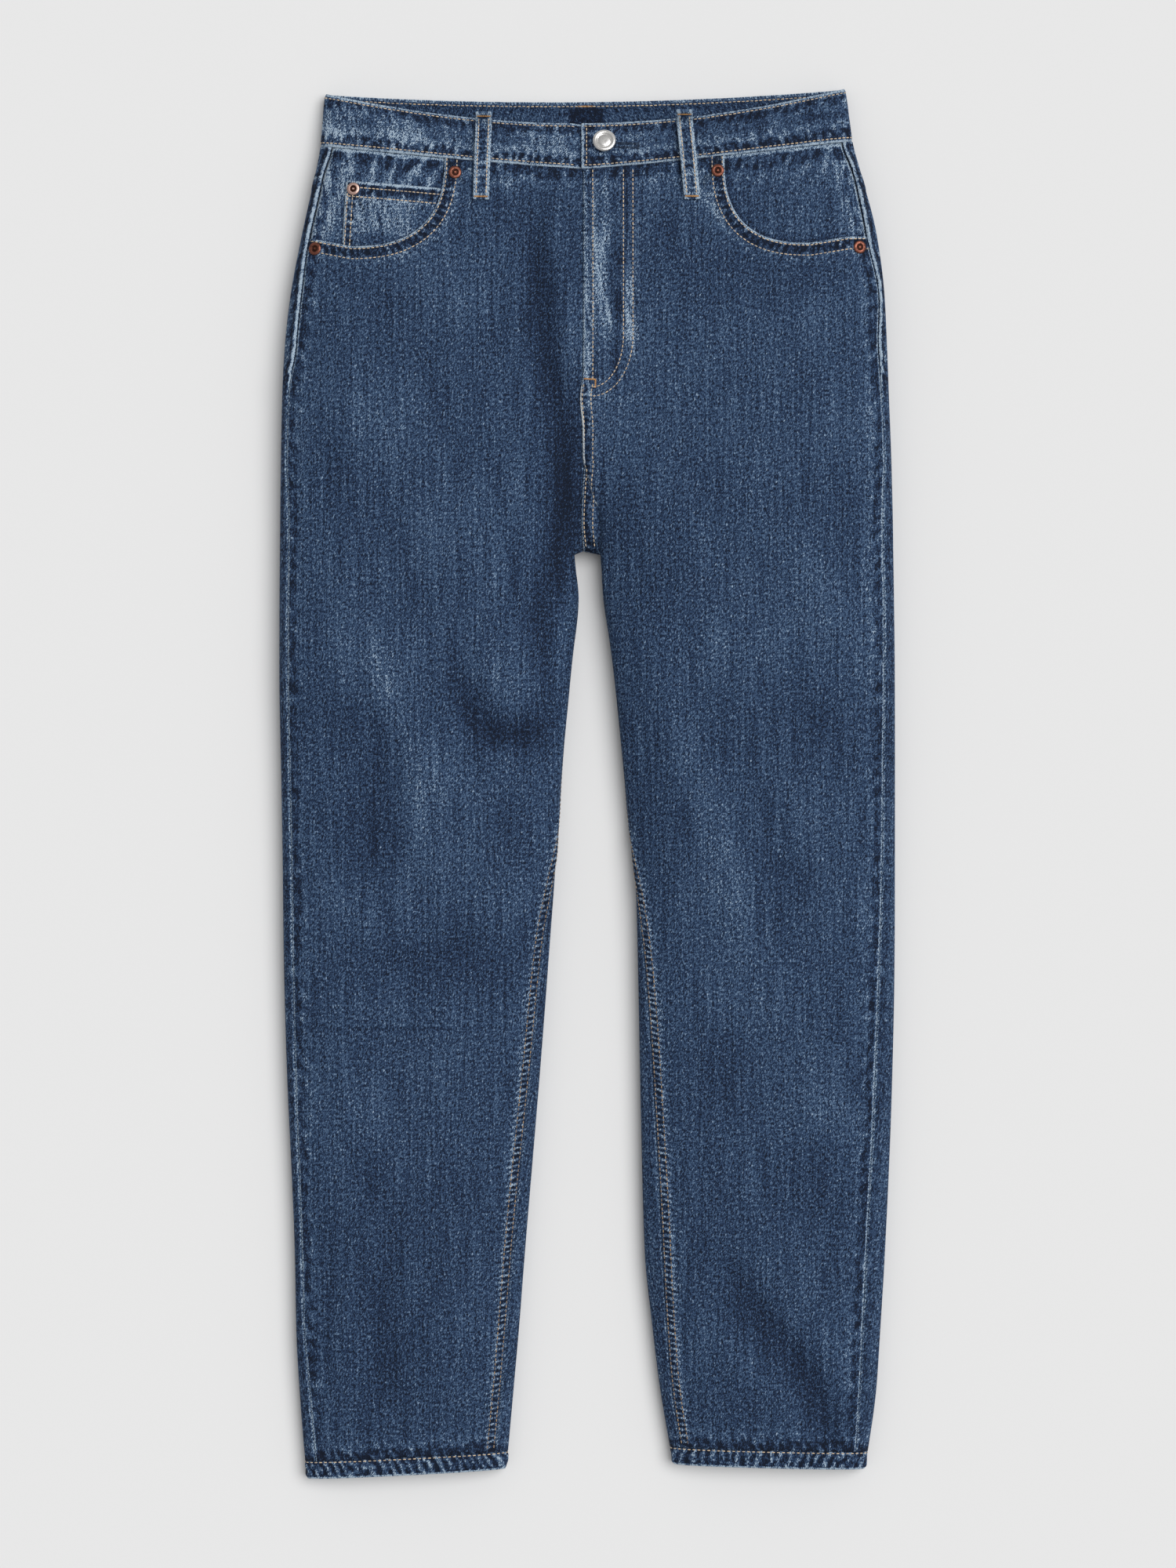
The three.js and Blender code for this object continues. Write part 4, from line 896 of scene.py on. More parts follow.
class Graph:
    """A material's nodes."""

    def __init__(self, name: str) -> None:
        """Starts a material with a Principled shader alone."""
        self.material = bpy.data.materials.new(name)
        self.material.use_nodes = True
        self.tree = self.material.node_tree
        self.tree.nodes.clear()
        self.shader = self.node("ShaderNodeBsdfPrincipled")
        self.node("ShaderNodeOutputMaterial", inputs={"Surface": Value(self, self.shader.outputs["BSDF"])})

    def set(self, socket: bpy.types.NodeSocket, value: Input) -> None:
        """Links a socket to a value or gives it a number."""
        if isinstance(value, Value):
            self.tree.links.new(value.socket, socket)
        else:
            socket.default_value = value

    def node(self, kind: str, settings: Settings = None, inputs: Settings = None) -> bpy.types.Node:
        """Adds a node.

        Args:
            kind: Its type.
            settings: What is set on it first.
            inputs: A value or a link for its sockets, by name or number.

        Returns:
            The node.
        """
        node = self.tree.nodes.new(kind)
        for key, value in (settings or {}).items():
            setattr(node, key, value)
        for key, value in (inputs or {}).items():
            self.set(node.inputs[key], value)
        return node

    def made(self, kind: str, output: str | int, settings: Settings = None, inputs: Settings = None) -> Value:
        """One output of a new node."""
        return Value(self, self.node(kind, settings, inputs).outputs[output])

    def math(self, name: str, *values: Input) -> Value:
        """A Math node on values."""
        return self.made("ShaderNodeMath", 0, {"operation": name}, dict(enumerate(values)))

    def parts(self, vector: Value) -> tuple[Value, Value, Value]:
        """A vector's three parts."""
        return tuple(Value(self, s) for s in self.node("ShaderNodeSeparateXYZ", inputs={0: vector}).outputs)

    def layer(self, name: str) -> tuple[Value, Value, Value]:
        """The three parts of a layer of the piece."""
        return self.parts(self.made("ShaderNodeAttribute", "Vector", {"attribute_name": name}))

    def amount(self, name: str) -> Value:
        """A layer of the piece that is one number."""
        return self.made("ShaderNodeAttribute", "Fac", {"attribute_name": name})

    def place(self) -> tuple[Value, ...]:
        """The place on the object, in millimetres."""
        return tuple(part / MM for part in self.parts(self.made("ShaderNodeTexCoord", "Object")))

    def noise(self, x: Input, y: Input, z: Input = 0.0, detail: float = 1.0) -> Value:
        """Soft noise about nought, one lump for each unit of its place."""
        vector = self.made("ShaderNodeCombineXYZ", 0, inputs={0: x, 1: y, 2: z})
        inputs = {"Vector": vector, "Scale": 1.0, "Detail": detail, "Roughness": 0.5}
        return self.made("ShaderNodeTexNoise", 0, {"noise_dimensions": "3D"}, inputs) - 0.5

    def ramp(self, value: Value, *stops: tuple[float, tuple]) -> Value:
        """A colour for a value, from stops of a place and a colour."""
        node = self.node("ShaderNodeValToRGB", inputs={0: value})
        elements = node.color_ramp.elements
        while len(elements) < len(stops):
            elements.new(0.5)
        for element, (place, colour) in zip(elements, stops):
            element.position, element.color = place, colour
        return Value(self, node.outputs[0])

    def blend(self, share: Input, first: Input, second: Input) -> Value:
        """Two colours mixed."""
        return self.made("ShaderNodeMix", 2, {"data_type": "RGBA"}, {0: share, 6: first, 7: second})

    def bump(self, height: Value) -> None:
        """Raises the surface by a height in millimetres."""
        inputs = {"Strength": 1.0, "Distance": MM, "Height": height}
        self.set(self.shader.inputs["Normal"], self.made("ShaderNodeBump", 0, inputs=inputs))

    def finish(self, **sockets: Input) -> bpy.types.Material:
        """Sets the shader's sockets, named with underscores for spaces, and gives the material."""
        for name, value in sockets.items():
            self.set(self.shader.inputs[name.replace("_", " ").title().replace("Ior", "IOR")], value)
        return self.material


def tint(red: float, green: float, blue: float) -> tuple[float, float, float, float]:
    """A colour in a screen's 0 to 255 as the shader's linear one."""
    parts = [c / 255 for c in (red, green, blue)]
    linear = [c / 12.92 if c <= 0.04045 else ((c + 0.055) / 1.055) ** 2.4 for c in parts]
    return (*linear, 1.0)


class Grain(NamedTuple):
    """Noise on cloth: its lumps to each unit across and along, its seed, its lean and its detail."""

    across: float
    along: float
    seed: float = 0.0
    lean: float = 0.0
    detail: float = 1.0

    def on(self, across: Value, along: Value) -> Value:
        """The noise at places of the flat cloth, or at puckers along a seam and distances from it."""
        place = across * self.across
        if self.lean:
            place = place + along * self.lean
        return across.graph.noise(place, along * self.along, self.seed, self.detail)


@dataclass(frozen=True)
class Denim:
    """Washed twill: blue warp over pale weft, with worn ridges along its seams."""

    name: str
    dark: tuple = tint(11, 21, 38)
    deep: tuple = tint(25, 42, 69)
    middle: tuple = tint(49, 71, 101)
    light: tuple = tint(90, 114, 142)
    worn: tuple = tint(164, 182, 198)
    level: float = 0.318
    stops: tuple = (0.0, 0.2, 0.42, 0.7, 1.0)
    twill: float = 1.25
    rough: float = 0.88

    YARN = Grain(0.95, 0.3, 1.0)
    STREAK = Grain(0.5, 0.016, 2.0)
    GRAIN = Grain(0.9, 0.62, 4.0, lean=-0.3)
    COARSE = Grain(0.52, 0.34, 14.0, lean=-0.12)
    FINE = Grain(1.7, 1.1, 12.0, lean=-0.5)
    CLOUD = Grain(0.05, 0.013, 5.0, detail=2.0)
    SPECK = Grain(0.8, 0.45, 6.0, lean=-0.2)
    SLUB = Grain(0.42, 0.035, 7.0)
    RUBBED = Grain(0.36, 0.05, 15.0, lean=0.05, detail=2.0)
    RUMPLE = Grain(0.19, 0.13, 9.0, detail=2.0)
    UNEVEN = Grain(0.3, 0.3)
    WANDER = Grain(0.35, 0.04, 3.0)
    LUMPS = Grain(1.3, 0.2, 8.0, detail=2.0)
    FRAY = Grain(3.1, 0.5, 13.0)
    WELTED = (1.85, 1.98)
    FIRST_ROW = (0.7, 2.0)
    LAST_ROW = (5.6, 8.8)
    BEYOND, BEYOND_WIDTH = 9.5, 4.5
    RIM, RIM_WIDTH = 0.5, 0.95
    FELLED_RIM = 8.4
    ROLL, ROLL_WIDTH = 1.8, 1.4
    GROOVE, GROOVE_WIDTH = 4.6, 1.0

    def seam(self, g: Graph, layer: str, slant: float) -> tuple[Value, Value]:
        """The wear and puckers along the seams of a layer.

        A seam whose strength is negative is felled, so its worn rim lies at the far side of its rows.
        One whose strength is 2 has a welt, a pale roll with a dark groove at each side.

        Args:
            g: The material's graph.
            layer: The layer's name.
            slant: How far a pucker leans, in puckers for each millimetre off the seam.

        Returns:
            How much paler the cloth is, and how high it stands.
        """
        along, off, marked = g.layer(layer)
        welted = marked.step(*self.WELTED)
        strength = marked.magnitude() - welted * 0.5
        felled = (-marked).step(0.0, 0.1)
        leaning = along + off * slant
        wave = (leaning * CYCLE + self.WANDER.on(along, off) * 9.0).sine()
        lumps, fray = self.LUMPS.on(leaning, off), self.FRAY.on(along, off)
        pucker = wave * (felled * 0.5 + 0.22) + lumps * 2.7
        between = off.step(*self.FIRST_ROW) * (1.0 - off.step(*self.LAST_ROW))
        beyond = (off - self.BEYOND).bell(self.BEYOND_WIDTH)
        rim = (off - self.RIM - felled * self.FELLED_RIM).bell(self.RIM_WIDTH)
        edge = rim * (fray * (felled * 3.0 + 1.0) + 0.66) * (1.0 - felled * 0.7) * (1.0 - welted)
        roll = (off - self.ROLL).bell(self.ROLL_WIDTH) * (fray + 0.9) - off.bell(0.5) * 0.6
        groove = (off - self.GROOVE).bell(self.GROOVE_WIDTH) * 0.4
        edge = edge + (roll - groove) * welted
        dimmer = 0.15 - felled * 0.1
        paler = between * (pucker * 0.42 - dimmer) + beyond * (pucker * 0.2 + 0.05) + edge * 0.75
        return paler * strength, (between * pucker * 0.5 + beyond * pucker * 0.2) * strength

    def build(self) -> bpy.types.Material:
        """Makes the material."""
        g = Graph(self.name)
        across, along, wear_and_shade = g.layer("cloth")
        steep = across * 1.5 - along
        twill = (steep * (CYCLE / (self.twill * 1.8)) + self.UNEVEN.on(across, along) * 3.0).sine()
        yarn, streak, grain, coarse, fine, cloud, streaky, rumple = (noise.on(across, along) for noise in (
            self.YARN, self.STREAK, self.GRAIN, self.COARSE, self.FINE, self.CLOUD, self.RUBBED, self.RUMPLE
        ))
        speck = self.SPECK.on(across, along).step(0.09, 0.24)
        slub = self.SLUB.on(across, along).step(-0.05, 0.2)
        down, raised_a = self.seam(g, "seam", 0.05)
        crossing, raised_b = self.seam(g, "cross", 0.06)
        # The cloth layer's third part is real wear together with painted shade in the front's fold troughs,
        # painted highlight on its fold ridges and a painted shadow on the facings by the pocket edges; worn
        # carries all of it into the colour.
        worn = wear_and_shade * (streaky * wear_and_shade.step(0.0, 0.1) * 5.0 + 1.0) + down + crossing
        shade = self.level + yarn * 0.7 + streak * 0.5 + grain * 1.35 + fine * 0.9 + coarse * 0.6
        shade = shade + cloud * 0.14 + twill * (worn.step(0.0, 0.3) * 0.1 + 0.04) + speck * 0.14
        shade = shade + speck * slub * 0.24 + worn
        shade = shade + (grain + fine) * worn.step(0.02, 0.25) * 0.9
        colours = self.dark, self.deep, self.middle, self.light, self.worn
        colour = g.ramp(shade, *zip(self.stops, colours))
        height = twill * 0.05 + yarn * 0.2 + grain * 0.3 + streak * 0.1 + raised_a + raised_b
        g.bump(height + rumple * 0.5)
        return g.finish(
            base_color=colour, roughness=self.rough + grain * 0.12, specular_ior_level=0.22,
            sheen_weight=0.03, sheen_roughness=0.5, sheen_tint=tint(150, 170, 200),
        )


@dataclass(frozen=True)
class Thread:
    """Sewing thread, twisted and a little uneven in colour."""

    name: str
    colour: tuple
    worn: tuple

    def build(self) -> bpy.types.Material:
        """Makes the material."""
        g = Graph(self.name)
        x, y, z = g.place()
        fibre = g.noise(x * 3.0, y * 3.0, z * 3.0, 2.0)
        colour = g.blend((g.amount("shade") + fibre * 0.8).step(0.1, 0.9), self.colour, self.worn)
        g.bump(((x + y + z) * 9.0).sine() * 0.05 + fibre * 0.08)
        return g.finish(base_color=colour, roughness=0.8 + fibre * 0.2, specular_ior_level=0.3)


@dataclass(frozen=True)
class Metal:
    """Plated metal, brushed and a little rubbed."""

    name: str
    colour: tuple
    stained: tuple
    rough: float
    rubbed: float = 0.35

    def build(self) -> bpy.types.Material:
        """Makes the material."""
        g = Graph(self.name)
        x, y, z = g.place()
        stain = g.noise(x * 0.55, y * 0.55, z * 0.9, 3.0)
        fine = g.noise(x * 5.0, y * 1.2, z * 5.0, 2.0)
        colour = g.blend((stain + fine * 0.4).step(-0.1, 0.35) * self.rubbed, self.colour, self.stained)
        g.bump(fine * 0.03 + stain * 0.05)
        return g.finish(base_color=colour, metallic=1.0, roughness=self.rough + stain * 0.25 + fine * 0.12)


@dataclass(frozen=True)
class Tape:
    """The zip's woven tape."""

    name: str
    colour: tuple
    raised: tuple

    def build(self) -> bpy.types.Material:
        """Makes the material."""
        g = Graph(self.name)
        x, y, _ = g.place()
        weave = (x * 5.2 + y * 3.1).sine() * (y * 7.0).sine()
        lumps = g.noise(x * 1.5, y * 1.5, 0.0, 2.0)
        colour = g.blend((weave * 0.3 + lumps).step(-0.3, 0.5), self.colour, self.raised)
        g.bump(weave * 0.06 + lumps * 0.08)
        return g.finish(base_color=colour, roughness=0.85 + lumps * 0.1)


@dataclass(frozen=True)
class Paper:
    """The plain pale surface."""

    name: str
    colour: tuple
    shaded: tuple

    def build(self) -> bpy.types.Material:
        """Makes the material."""
        g = Graph(self.name)
        x, y, _ = g.place()
        tooth = g.noise(x * 0.8, y * 0.8, 0.0, 2.0)
        g.bump(tooth * 0.02)
        return g.finish(base_color=g.blend(tooth + 0.5, self.colour, self.shaded), roughness=0.9)


class Finish(Enum):
    """The garment's finishes."""

    DENIM = Denim("washed denim")
    REVERSE = Denim(
        "denim reverse", dark=tint(44, 54, 68), deep=tint(72, 84, 100), middle=tint(112, 124, 138),
        light=tint(150, 160, 170), worn=tint(190, 196, 200), level=0.42,
    )
    TAN = Thread("tan thread", tint(226, 203, 172), tint(186, 172, 154))
    BROWN = Thread("brown thread", tint(170, 146, 118), tint(118, 108, 100))
    GOLD = Thread("gold thread", tint(206, 156, 98), tint(168, 126, 84))
    NAVY = Thread("navy thread", tint(26, 38, 58), tint(60, 78, 102))
    NICKEL = Metal("satin nickel", (0.80, 0.79, 0.77, 1), (0.50, 0.49, 0.48, 1), 0.30)
    COPPER = Metal("brushed copper", (0.25, 0.095, 0.065, 1), (0.04, 0.018, 0.015, 1), 0.45, 0.85)
    ROSE = Metal("pale copper", (0.62, 0.42, 0.36, 1), (0.20, 0.11, 0.09, 1), 0.38, 0.5)
    # Dark copper for the rivets' hollows: painted shade.
    HOLLOW_SHADE = Metal("copper painted shade", (0.055, 0.022, 0.016, 1), (0.02, 0.01, 0.008, 1), 0.5, 0.85)
    TAPE = Tape("zip tape", tint(24, 32, 46), tint(58, 70, 88))
    FLOOR = Paper("pale surface", (0.80, 0.80, 0.80, 1), (0.785, 0.785, 0.785, 1))


class Wardrobe:
    """Makes each finish once."""

    def __init__(self) -> None:
        """Starts with none made."""
        self.made: dict[Finish, bpy.types.Material] = {}

    def material(self, finish: Finish) -> bpy.types.Material:
        """The material of a finish."""
        if finish not in self.made:
            self.made[finish] = finish.value.build()
        return self.made[finish]


WARDROBE = Wardrobe()
ONE_CLOTH = (Finish.DENIM, Finish.DENIM)
TWO_FACED = (Finish.DENIM, Finish.REVERSE)


def capped(rings: int, sides: int) -> tuple[list[int], list[int]]:
    """The polygons of a solid of rings between two end points, as their corners and how many each has."""
    loops, counts, last = [], [], 1 + rings * sides
    for k in range(sides):
        m = (k + 1) % sides
        loops += [0, 1 + m, 1 + k]
        for a in range(1, last - sides, sides):
            loops += [a + k, a + m, a + sides + m, a + sides + k]
        loops += [last - sides + k, last - sides + m, last]
        counts += [3, *[4] * (rings - 1), 3]
    return loops, counts


@dataclass
class Stitching:
    """Rows of stitches as short threads that rise and dive into the cloth."""

    name: str
    finish: Finish
    pitch: float = 3.2
    length: float = 2.6
    radius: float = 0.41
    seed: int = 5
    parts: list[Mesh] = field(default_factory=list)

    SIDES = 6
    AHEAD = 0.3
    END = (0.5, 0.0, -0.7)
    RINGS = ((-0.36, 0.8, 0.12), (0.0, 1.0, 0.34), (0.36, 0.8, 0.12))
    FLATTER = 0.75
    LOWEST = 0.02
    TACK_LEAN = 0.22
    TACK_RADIUS = 0.32

    def row(self, points: Array, normals: Array) -> None:
        """Adds a row of stitches along a line on the cloth, given its points and their ways out."""
        reach = reach_of(points)
        count = int(reach[-1] / self.pitch)
        middles = (np.arange(count) + 0.5) * reach[-1] / count
        ahead = self.AHEAD * self.pitch
        before, spots, after = (drawn(middles + k, reach, points) for k in (-ahead, 0, ahead))
        up = unit(drawn(middles, reach, normals))
        self.beads(spots, unit(after - before), up, self.length, self.radius)

    def beads(self, middles: Array, ways: Array, up: Array, length: float, radius: float) -> None:
        """Adds single stitches.

        Args:
            middles: Where each is.
            ways: Which way it runs.
            up: The way out of the cloth.
            length: How long it is.
            radius: The thread's radius.
        """
        draw = np.random.default_rng(self.seed + 7 * len(self.parts))
        aside = unit(np.cross(up, ways))
        rings = [
            (along, size * math.cos(a), lift + self.FLATTER * size * math.sin(a))
            for along, size, lift in self.RINGS for a in circle(self.SIDES)
        ]
        t = np.array([(-self.END[0], *self.END[1:]), *rings, self.END]) * (length, radius, radius)
        points = sum(way[:, None] * t[None, :, k : k + 1] for k, way in enumerate((ways, aside, up)))
        flat = (middles[:, None] + points).reshape(-1, 3)
        flat[:, 2] = np.maximum(flat[:, 2], self.LOWEST)
        polygons, counts = capped(len(self.RINGS), self.SIDES)
        loops = (np.array(polygons)[None] + len(t) * np.arange(len(middles))[:, None]).reshape(-1)
        counts = np.tile(counts, len(middles))
        shade = np.repeat(draw.uniform(0, 1, len(middles)), len(t))[:, None]
        self.parts.append(Mesh(flat, loops, counts, counts * 0, {"shade": shade}))

    def tack(self, start: Array, end: Array, up: Array = UP, width: float = 1.5, pitch: float = 0.62) -> None:
        """Adds a bar of close stitches across a line.

        Args:
            start: One end of the line.
            end: The other end.
            up: The way out of the cloth.
            width: The bar's width.
            pitch: The threads' pitch.
        """
        span = end - start
        count = max(int(np.linalg.norm(span) / pitch), 2)
        middles = start + span * ((np.arange(count) + 0.5) / count)[:, None]
        up = np.tile(unit(up), (count, 1))
        lean = np.where(np.arange(count) % 2, self.TACK_LEAN, -self.TACK_LEAN)[:, None]
        ways = unit(np.cross(up, unit(span)) + unit(span) * lean)
        self.beads(middles + up * 0.1, ways, up, width, self.TACK_RADIUS)

    def piece(self) -> None:
        """Makes the object of all its rows."""
        Mesh.joined(self.parts).piece(self.name, "denim", (self.finish,))


def laid(
    skin: Skin, node: str, finishes: Sequence[Finish], size: Size, under: str, **shell: float | dict
) -> None:
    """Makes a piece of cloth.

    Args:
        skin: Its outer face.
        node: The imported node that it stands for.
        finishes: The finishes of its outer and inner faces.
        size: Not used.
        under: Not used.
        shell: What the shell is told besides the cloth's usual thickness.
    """
    obj = skin.shell(**{"thick": CLOTH, **shell}).piece(f"{node}_cloth", "denim", finishes, node)


class Probe:
    """Finds places on the finished cloth from straight above or below."""

    FAR = 200.0
    GAP = 0.7
    STEP = 1.5

    def __init__(self, *skins: Skin) -> None:
        """Keeps the faces that it looks at."""
        self.trees = [s.tree() for s in skins]

    def on(self, plan: Iterable[tuple[float, float]], below: bool = False) -> Line:
        """Drops places of the plan onto the cloth.

        Args:
            plan: The places, across and along.
            below: Whether it looks from below.

        Returns:
            The points that it meets and the way out at each, without those that miss.
        """
        sign = -1.0 if below else 1.0
        points, normals = [], []
        for x, y in plan:
            for near in (0.0, self.GAP, -self.GAP):
                best = None
                for tree in self.trees:
                    start = Vector((x, y + near, sign * self.FAR))
                    spot, normal, _, _ = tree.ray_cast(start, Vector((0, 0, -sign)))
                    if spot is not None and (best is None or sign * spot.z > sign * best[0].z):
                        best = (spot, normal if normal.z * sign > 0 else -normal)
                if best is not None:
                    points.append((x, y, best[0].z))
                    normals.append(tuple(best[1]))
                    break
        return np.array(points).reshape(-1, 3), np.array(normals).reshape(-1, 3)

    def along(self, *corners: tuple[float, float], below: bool = False) -> Line:
        """Drops a line of corners onto the cloth, a step at a time."""
        line = np.array(corners, float)
        return self.on(evenly(line, max(int(reach_of(line)[-1] / self.STEP), 2)), below)


@dataclass
class Grid:
    """A panel's outer face as rows down its length and columns across it."""

    lengths: Array
    points: Array
    normals: Array

    def __post_init__(self) -> None:
        """Measures each row."""
        self.reach = reach_of(self.points)
        self.girth = self.reach[:, -1:]

    def down(self, off: float, from_end: bool, top: float, foot: float) -> Line:
        """A line down the panel beside one of its long edges.

        Args:
            off: The distance from the edge.
            from_end: Whether the edge is the last column.
            top: The length at which it starts.
            foot: The length at which it ends.

        Returns:
            The line's points and the way out at each.
        """
        points, normals = [], []
        for i in np.nonzero((self.lengths <= top) & (self.lengths >= foot))[0]:
            place = self.girth[i, 0] - off if from_end else off
            points.append(drawn(place, self.reach[i], self.points[i]))
            normals.append(drawn(place, self.reach[i], self.normals[i]))
        return np.array(points), unit(np.array(normals))

    def across(self, length: float, start: int = 0, end: int | None = None, depth: float = 0.0) -> Line:
        """A line across the panel at a length.

        Args:
            length: The length.
            start: The first column.
            end: The column after the last.
            depth: How far in from the outer face it lies.

        Returns:
            The line's points and the way out at each.
        """
        order = np.argsort(self.lengths)
        rows = np.interp(length, self.lengths[order], order.astype(float))
        i = int(np.clip(math.floor(rows), 0, len(self.lengths) - 2))
        t = rows - i
        normals = unit(self.normals[i] * (1 - t) + self.normals[i + 1] * t)[start:end]
        points = (self.points[i] * (1 - t) + self.points[i + 1] * t)[start:end]
        return points - normals * depth, normals


def ways_out(grid: Array, side: int = 1, ring: bool = False) -> Array:
    """The way out at each point of a grid.

    Args:
        grid: Rows down and columns from the centre front round to the back.
        side: The half's side.
        ring: Whether the last column meets the first.

    Returns:
        The normals.
    """
    if ring:
        over = np.roll(grid, -1, axis=1) - np.roll(grid, 1, axis=1)
    else:
        wide = np.concatenate([grid[:, :1], grid, grid[:, -1:]], axis=1)
        over = wide[:, 2:] - wide[:, :-2]
    tall = np.concatenate([grid[:1], grid, grid[-1:]], axis=0)
    return unit(np.cross(tall[2:] - tall[:-2], over) * side)


def cloth_layer(across: Array, along: Array, wear_and_shade: Array | float) -> Array:
    """The layer that holds the places on the flat cloth and how much paler they are from wear, with painted
    shade and highlight where given.
    """
    return np.stack(np.broadcast_arrays(across, along, wear_and_shade), axis=-1).astype(float)


@dataclass
class Legs:
    """One half's front and back panels with the facing, yoke and topstitching that belong to them."""

    half: Half
    rows: int = 344
    front_columns: int = 98
    back_columns: int = 84
    hip_end: float = 340.0
    under_front: float = 12.0
    puckers: float = 12.5
    inner_puckers: float = 4.2
    front_weave: float = 130.0
    back_weave: float = 120.0
    fly_foot: float = 280.0
    fly_curve: float = 44.0
    fly_width: float = 30.0
    fly_turn: tuple[float, float] = (276.0, 300.0)
    side_row: float = 3.9
    side_sewn: tuple[float, float] = (462.0, 285.0)
    inseam_rows: tuple[float, float] = (1.6, 6.4)
    inseam_sewn: tuple[float, float] = (110.0, -491.0)
    centre_rows: tuple[float, float] = (1.9, 8.2)
    front_sewn: tuple[float, float] = (290.0, 171.0)
    seat_sewn: tuple[float, float] = (456.0, 171.0)
    yoke_rows: tuple[float, float] = (2.2, 8.0)
    yoke_sewn: tuple[float, float] = (6.0, 188.0)
    yoke_places: int = 120

    def build(self) -> None:
        """Lays out the panels' grids and cuts the pieces from them."""
        half = self.half
        self.scoop = SCOOPS[half.name]
        self.lengths = np.linspace(PANEL_TOP, PANEL_END, self.rows)
        self.hips = (self.lengths >= CROTCH)[:, None]
        sections = [Section(half, float(v)) for v in self.lengths]
        edge, thick, rest = (np.array([[getattr(s, n)] for s in sections]) for n in ("edge", "thick", "rest"))
        ring = np.stack([
            np.concatenate([s.front(self.front_columns), s.back(self.back_columns)[1:]]) for s in sections
        ])
        rise = np.clip((ring[..., 2] - edge) / (thick - edge), 0, 1)
        fall = np.clip((edge - ring[..., 2]) / (edge - rest), 0, 1)
        x, y = ring[..., 0], ring[..., 1]
        self.depth = CREASES.front(x, y) * rise
        ring[..., 2] += CREASES.back(x, y) * fall - self.depth
        ring += self.normals(ring) * self.relief(ring)[..., None]
        ring[..., 2] = np.maximum(ring[..., 2], rest * (fall > 0))
        normals = self.normals(ring)
        last = self.front_columns - 1
        front, back = ring[:, : last + 1].copy(), ring[:, last:].copy()
        self.part_seams(front, back)
        self.front = Grid(self.lengths, front, normals[:, : last + 1].copy())
        self.back = Grid(self.lengths, back, normals[:, last:].copy())
        whole = Skin.of_grid(front, self.front.normals, self.front_layers())
        self.front_skin = whole.clipped(self.scoop.inside)
        whole = Skin.of_grid(back, self.back.normals, self.back_layers())
        self.back_skin = whole.clipped(lambda px, py: above_yoke(px, py) + HALF_GAP)
        self.yoke_skin = whole.clipped(lambda px, py: HALF_GAP - above_yoke(px, py))
        self.facing_skin = self.hip(-(CLOTH + SEAM_GAP)).clipped(
            lambda px, py: -self.scoop.inside(px, py) - self.under_front
        )

    def normals(self, ring: Array) -> Array:
        """The way out all round, with the legs' rings closed and the hips' open."""
        shut = ways_out(ring[:, :-1], self.half.side, True)
        shut = np.concatenate([shut, shut[:, :1]], axis=1)
        whole = np.where(self.hips[..., None], ways_out(ring, self.half.side), shut)
        for end in (0, -1):
            level = whole[:, end] * np.array([0.0, 1.0, 1.0])
            whole[:, end] = np.where(self.hips, unit(level), whole[:, end])
        return whole

    def relief(self, ring: Array) -> Array:
        """How far the cloth stands out where seams and turned edges make it thicker."""
        x, y = ring[..., 0], ring[..., 1]
        inner = reach_of(ring)
        inner_back = inner[:, -1:] - inner
        side = inner - inner[:, self.front_columns - 1 : self.front_columns]
        leg, welt, on_left = ~self.hips, smooth(*WELT_FOOT, y), self.hips & (self.half.side > 0)
        fly_edge = self.fly_width * np.sqrt(np.clip((y - self.fly_foot) / self.fly_curve, 0, 1))
        raised = np.zeros_like(x)
        for height, distance, start, end, turn, share in (
            (1.1, side, 0.4, 3.4, 1.2, (side > 0) * welt),
            (0.7, inner, 0.4, 7.0, 1.8, leg),
            (0.8, inner, 0.0, 9.5, 2.4, on_left * (1 - smooth(*self.fly_turn, y))),
            (0.9, x, -5, fly_edge, 3.2, on_left * welt),
            (0.5, inner_back, 0.0, 8.0, 2.4, on_left),
            (0.55, -self.scoop.inside(x, y), 0.0, 8.6, 2.2, side < 0),
            (0.45, -above_yoke(x, y), 0.0, 8.0, 2.2, side > 0),
        ):
            raised += height * plateau(distance, start, end, turn) * share
        for height, distance, width, share in (
            (0.55, side, 3.6, 1 - welt), (-0.5, side, 0.9, 1), (-0.5, inner, 0.9, leg),
        ):
            raised += height * bell(distance, width) * share
        return raised

    def part_seams(self, front: Array, back: Array) -> None:
        """Moves the panels' edges half a gap apart at each seam."""
        way = unit(back[:, 1] - front[:, -2]) * HALF_GAP
        front[:, -1] -= way
        back[:, 0] += way
        aside = np.array([self.half.side * HALF_GAP, 0.0, 0.0])
        way = unit(front[:, 1] - back[:, -2]) * HALF_GAP
        front[:, 0] += np.where(self.hips, aside, way)
        back[:, -1] += np.where(self.hips, aside, -way)

    def weave(self, grid: Grid, out: float, wear_and_shade: Array) -> Array:
        """The layer of the places on the flat cloth that the finish's weave uses, with how much paler each is
        from wear and from painted shade and highlight.

        Args:
            grid: The panel's grid.
            out: The distance out at which the cloth lies as it is cut.
            wear_and_shade: How much paler the places are from wear, with painted shade and highlight where
                given.

        Returns:
            Across, along, and the wear with painted shade and highlight.
        """
        places = []
        for outs, reach in zip(grid.points[..., 0] * self.half.side, grid.reach):
            order = np.argsort(outs)
            places.append([np.interp(0, (outs - out)[order], reach[order])])
        return cloth_layer((grid.reach - places + out) * self.half.side, grid.points[..., 1], wear_and_shade)

